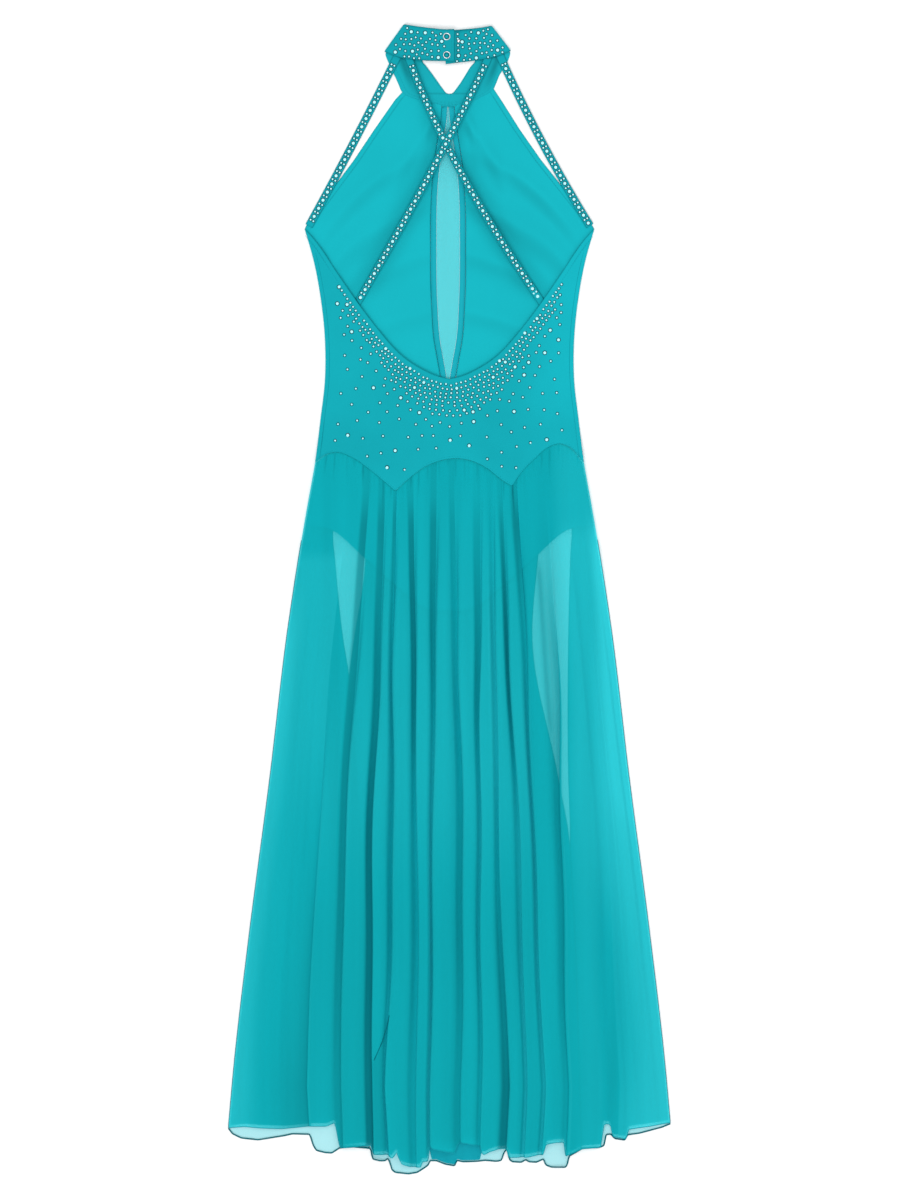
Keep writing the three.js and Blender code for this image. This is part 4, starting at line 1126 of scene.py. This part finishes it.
def back_panel(name, first, last):
    """One panel of the back skirt, from its first fold to its last, with its hem."""
    columns = []
    for fold in range(first, last):
        count = SIDE_COLUMNS if fold < 0 or fold >= len(FOLDS) - 1 else FOLD_COLUMNS
        columns += [(fold, i / count) for i in range(count)]
    columns.append((last - 1, 1.0))
    v = np.linspace(0, 1, 150)
    grid = np.zeros((len(v), len(columns), 3))
    layers_and_shade = np.zeros(grid.shape[:2])
    for c, (fold, share) in enumerate(columns):
        top_x = skirt_point(fold, share, np.array(HIP_Y))[0]
        hem_x = skirt_point(fold, share, np.array(HEM_Y))[0]
        top = hip_y(top_x / side_half(HIP_Y)) + HIP_LAP
        y = mix(top, hem_y(BACK_HEM, hem_x), v)
        x, y, z = skirt_point(fold, share, y)
        below_seam = top - HIP_LAP - y
        gather = np.sin(top_x * 900 + 1.3 * fold) * np.sin(top_x * 331 + fold)
        reach = 0.030 + 0.020 * math.sin(top_x * 410 + fold)
        fade = ease(below_seam / 0.003) * ease(1 - below_seam / reach)
        grid[:, c] = points_at(x, y, z + 0.0006 * gather * fade)
        # painted shade on one flank of each gather below the hip seam
        layers_and_shade[:, c] = layers_and_shade_at(fold, x, y) + 0.5 * max(0, gather) ** 1.5 * fade
        # below the lapped fold's end the cloth lies lower and takes a painted shadow
        if fold == LAPPED_FOLD:
            below = straight(LAPPED_EDGE, x) - y
            layers_and_shade[:, c] += 0.26 * ease(below / 0.003)
            grid[:, c, 2] -= 0.0010 * ease(below / 0.003)
    # neighbouring panels meet edge to edge
    grid[:, 0, 0] += PANEL_GAP / 2 if first >= 0 else 0
    grid[:, -1, 0] -= PANEL_GAP / 2 if last < len(FOLDS) else 0
    dark_threads = []
    if first < 0 or last == len(FOLDS):
        below_hip = grid[18:, 0 if first < 0 else -1]
        dark_threads.append(tube(below_hip, 0.00036, 5))
    if first <= LAPPED_FOLD < last:
        x = np.linspace(LAPPED_EDGE[-1][0], LAPPED_EDGE[0][0], 14)
        y = straight(LAPPED_EDGE, x)
        ridge = skirt_point(LAPPED_FOLD, 0.35, y)[2]
        dark_threads.append(tube(points_at(x, y, ridge + 0.0004), 0.0004))
    hems = [tube(grid[-1], 0.00045)]
    hems += [(points, faces, [1] * len(faces)) for points, faces in dark_threads]
    trim(name + "_hem", hems, [TEAL_THREAD, HEM_THREAD], name)
    cloth = open_sheet(name + "_cloth", grid, BACK_CHIFFON)
    set_values(cloth, "layers_and_shade", layers_and_shade.ravel())
    place(cloth, [name])


# The back skirt's panels: (the fold that each begins with, and the one that it ends at).
BACK_PANELS = {
    "back_skirt_left": (-1, LEFT_SEAM_FOLD),
    "back_skirt_middle": (LEFT_SEAM_FOLD, RIGHT_SEAM_FOLD),
    "back_skirt_right": (RIGHT_SEAM_FOLD, len(FOLDS)),
}
for panel_name, folds in BACK_PANELS.items():
    back_panel(panel_name, *folds)


def slit(table, column):
    """An edge of a thigh opening, as a function of height."""
    return lambda y: curve(table, y, column)


def lap_lift(x, y):
    """The middle front panel lies on the side panels' inner edges."""
    clear, ramp = 0.015, 0.012
    left = curve(LEFT_SLIT, y, 1) + clear
    right = curve(RIGHT_SLIT, y, 1) - clear
    on_left = ease((LAPS["left"] - y) / LAPS["rise"]) * ease(1 + (left - x) / ramp)
    on_right = ease((LAPS["right"] - y) / LAPS["rise"]) * ease(1 + (x - right) / ramp)
    return LAYER * np.where(x < 0, on_left, on_right)


def front_panel(name, ends, left, right, on_top):
    """One panel of the front skirt: an outer layer on the surface and an upper one on it."""
    v, u = grid_shares(80, 220 if on_top else 110)
    share = mix(*ends, u)
    hem_x = mix(left(HEM_Y), right(HEM_Y), u)
    outer_hem = hem_y(FRONT_HEM, hem_x)
    from_left, to_right = hem_x - LOWER_MIDDLE[0], LOWER_MIDDLE[1] - hem_x
    lower = ease(from_left / LOWER_EASE) * ease(to_right / LOWER_EASE)
    upper_hem = mix(hem_y(BACK_HEM, hem_x) + ABOVE_BACK_HEM, outer_hem + ABOVE_OUTER_HEM, lower)
    parts, hems = [], []
    for slot, hem in enumerate((outer_hem, upper_hem)):
        y = mix(hip_y(share) - 0.0005, hem, v)
        x = mix(share * side_half(y), mix(left(y), right(y), u), ease(v / 0.05))
        if hem is upper_hem:
            x = x - np.sign(x) * 0.002 * ease((np.abs(x) - side_half(y) + 0.02) / 0.012)
        wave = 0.00012 * np.sin(x * 300 + 3 * np.sin(y * 9)) * ease((0.05 - y) / 0.1)
        lift = lap_lift(x, y) if on_top else 0
        grid = points_at(x, y, FRONT_Z + wave + lift + 0.00035 * slot)
        flip = normals(grid)[..., 2].mean() < 0
        faces = [tuple(face) for face in grid_faces(*grid.shape[:2], flip=flip)]
        parts.append((grid.reshape(-1, 3), faces, [slot] * len(faces)))
        if hem is outer_hem:
            hems.append(tube(grid[-1] + [0, 0, 0.00035], 0.0008))
            if name != "front_skirt_left":
                hems.append(tube(grid[4:, 0], 0.0004, 5))
            if name != "front_skirt_right":
                hems.append(tube(grid[4:, -1], 0.0004, 5))
    place(joined(name + "_cloth", parts, [OUTER_CHIFFON, UNDER_CHIFFON]), [name])
    trim(name + "_hem", hems, [HEM_THREAD], name)


def left_side(y):
    return -side_half(y)


# The front skirt's panels: (ends in shares of the hip, left edge, right edge, lies on the others).
FRONT_PANELS = {
    "front_skirt_left": ((-1, LEFT_SLIT_SHARE), left_side, slit(LEFT_SLIT, 1), False),
    "front_skirt_middle": (
        (LEFT_SLIT_SHARE, RIGHT_SLIT_SHARE), slit(LEFT_SLIT, 2), slit(RIGHT_SLIT, 2), True,
    ),
    "front_skirt_right": ((RIGHT_SLIT_SHARE, 1), slit(RIGHT_SLIT, 1), side_half, False),
}
for panel_name, panel in FRONT_PANELS.items():
    front_panel(panel_name, *panel)


# ------------------------------------------------------------------ crystals
def stone(x, y, z, radius, turn):
    """A foil-backed crystal: a flat dark setting, wider than the crystal for its painted shade, a
    faceted crown and its table.
    """
    rim = radius + SETTING_SHADE_RIM
    setting_and_shade = ((rim, 0.0), (rim, 0.00014), (radius, 0.0002))
    crown = ((0.9 * radius, 0.42 * radius), (0.55 * radius, 0.6 * radius))
    return lathe(x, y, z, setting_and_shade + crown, 8, dark=2, turn=turn)


def stone_piece(name, stones, cloth):
    parts = [stone(*at, random.uniform(0, math.pi)) for at in stones]
    trim(name, parts, [CRYSTAL, SETTING_AND_SHADE], cloth, smooth=False)


def strap_stones():
    """A pair of small crystals side by side, then one big one, all down each strap."""
    for name, row in STRAPS.items():
        x, y, z, along = strap_line(row, np.linspace(0, 1, 400))
        run = np.concatenate([[0], np.cumsum(np.hypot(np.diff(x), np.diff(y)))])
        end = run[-1] - 0.002
        pair = [(-0.0018, SMALL_STONE), (0.0018, SMALL_STONE)]
        stones = []
        for start in np.arange(0.0125, end, STONE_PITCH):
            for at, across in ((start, pair), (start + STONE_PITCH / 2, [(0, BIG_STONE)])):
                if at > end:
                    continue
                cx, cy, cz, ax, ay = (
                    float(np.interp(at, run, values)) for values in (x, y, z, *along.T)
                )
                for off, radius in across:
                    stones.append((cx - ay * off, cy + ax * off, cz + 0.00066, radius))
        stone_piece(name + "_stones", stones, "back_bodice")


strap_stones()


def collar_stones():
    """Evenly over the collar's two back halves, clear of the snaps and the edges."""
    stations = COLLAR_GRID.shape[1] - 1
    kept = []
    for radius, gap, most, tries in (
        (BIG_STONE, 0.0150, 11, 400), (SMALL_STONE, 0.0052, 130, 9000),
    ):
        for _ in range(tries):
            if random.random() < 0.5:
                at = random.uniform(4, LEFT_END_ROW * COLLAR_STEPS)
            else:
                at = random.uniform(RIGHT_START_ROW * COLLAR_STEPS, stations - 1)
            row = random.uniform(0.09, 0.92) * (COLLAR_GRID.shape[0] - 1)
            x, y, z = (float(value) for value in COLLAR_GRID[int(row), int(at)])
            y += random.uniform(-0.001, 0.001)
            to_snap = min(math.hypot(x - sx, y - sy) for sx, sy in SNAPS.values())
            by_flap = -0.0040 < x < 0.0085
            if to_snap < SNAP_CLEARANCE or by_flap or len(kept) >= most:
                continue
            if all(
                math.hypot(x - a, y - b) > gap + (0.0008 if r > SMALL_STONE else 0)
                for a, b, _, r in kept
            ):
                kept.append((x, y, z + COLLAR_THICKNESS / 2 + 0.00001, radius))
    stone_piece("collar_band_stones", kept, "collar_band")


collar_stones()


def bodice_stones():
    """In close rows along the neckline, then scattered thinly towards the sides and the hip."""
    kept = []

    def add(share, off, gap, big):
        y = float(neck_y(share)) - off * math.hypot(1, neck_slope(share))
        x = share * float(side_half(y))
        crowded = any(math.hypot(x - a, y - b) < gap for a, b, _, _ in kept)
        if crowded or y > STONE_TOP or y < max(HIP_Y, float(hip_y(share)) + SEAM_CLEARANCE):
            return
        on_cloth = bodice_height(np.array(x), np.array(y), np.array(share)) + KNIT / 2
        z = float(on_cloth + neck_lift(off, share))
        kept.append((x, y, z, BIG_BODICE_STONE if big else SMALL_STONE))

    for row in range(STONE_ROWS):
        off = FIRST_ROW + ROW_PITCH * row
        last_share = 0.86 - 0.02 * row if row < 3 else 0.80 - 0.10 * (row - 1)
        share = -last_share + 0.02 * (row % 2)
        while share < last_share:
            step = (0.0056 + 0.0004 * row) * random.uniform(0.9, 1.15)
            share += step / 0.148 / math.hypot(1, neck_slope(share))
            add(share, off + random.uniform(-0.0008, 0.0008), 0.0041, random.random() < 0.06)
    for _ in range(5000):
        share, off = random.uniform(-0.88, 0.88), mix(*SCATTER, random.random() ** 1.3)
        dense = mix(0.042, 0.016, min(1.0, abs(share) / 0.75))
        gap = 0.0068 + 0.0088 * float(ease((off - dense) / 0.045))
        add(share, off, gap, random.random() < 0.12)
    stone_piece("back_bodice_stones", kept, "back_bodice")


bodice_stones()


# ------------------------------------------------------------------ floor, light and camera
def stage():
    paper, tree, shader, _ = new_material("floor_paper")
    set_inputs(tree, shader, {"Base Color": (0.97, 0.97, 0.97, 1), "Roughness": 0.95})
    corners = [(-4, -4, 0), (4, -4, 0), (4, 4, 0), (-4, 4, 0)]
    floor = add_mesh("floor", corners, [(0, 1, 2, 3)], [paper])
    world = bpy.data.worlds.new("studio")
    bpy.context.scene.world = world
    world.use_nodes = True
    sky = world.node_tree.nodes["Background"]
    set_inputs(world.node_tree, sky, {"Color": (0.98, 0.99, 1, 1), "Strength": 0.50})
    # (name, lean from overhead, way it stands, softness, brightness on the floor)
    lamps = (("key", 38, 205, 40, 0.30), ("top", 8, 0, 50, 0.29), ("fill", 48, 60, 50, 0.07))
    for name, lean, way, softness, level in lamps:
        lamp = bpy.data.lights.new(name, "SUN")
        lamp.angle = math.radians(softness)
        lamp.energy = level * math.pi / math.cos(math.radians(lean))
        light = bpy.data.objects.new(name, lamp)
        light.rotation_euler = (math.radians(lean), 0, math.radians(180 - way))
        light.location = (0, 0, 3)
        bpy.context.scene.collection.objects.link(light)


stage()


def camera():
    """Straight overhead, 6 m up, with 1.15 mm of the surface for each of 1200 rows."""
    pixel = 0.00115
    rows = 1200
    distance = 6.0
    data = bpy.data.cameras.new("camera")
    data.sensor_fit = "VERTICAL"
    data.sensor_height = 36
    data.lens = data.sensor_height * distance / (rows * pixel)
    data.clip_end = 50
    view = bpy.data.objects.new("camera", data)
    view.location = (0.5 * pixel, -pixel, distance + FRONT_Z)
    bpy.context.scene.collection.objects.link(view)
    bpy.context.scene.camera = view


camera()
scene = bpy.context.scene
scene.cycles.transparent_max_bounces = 48
scene.view_settings.view_transform = "Standard"
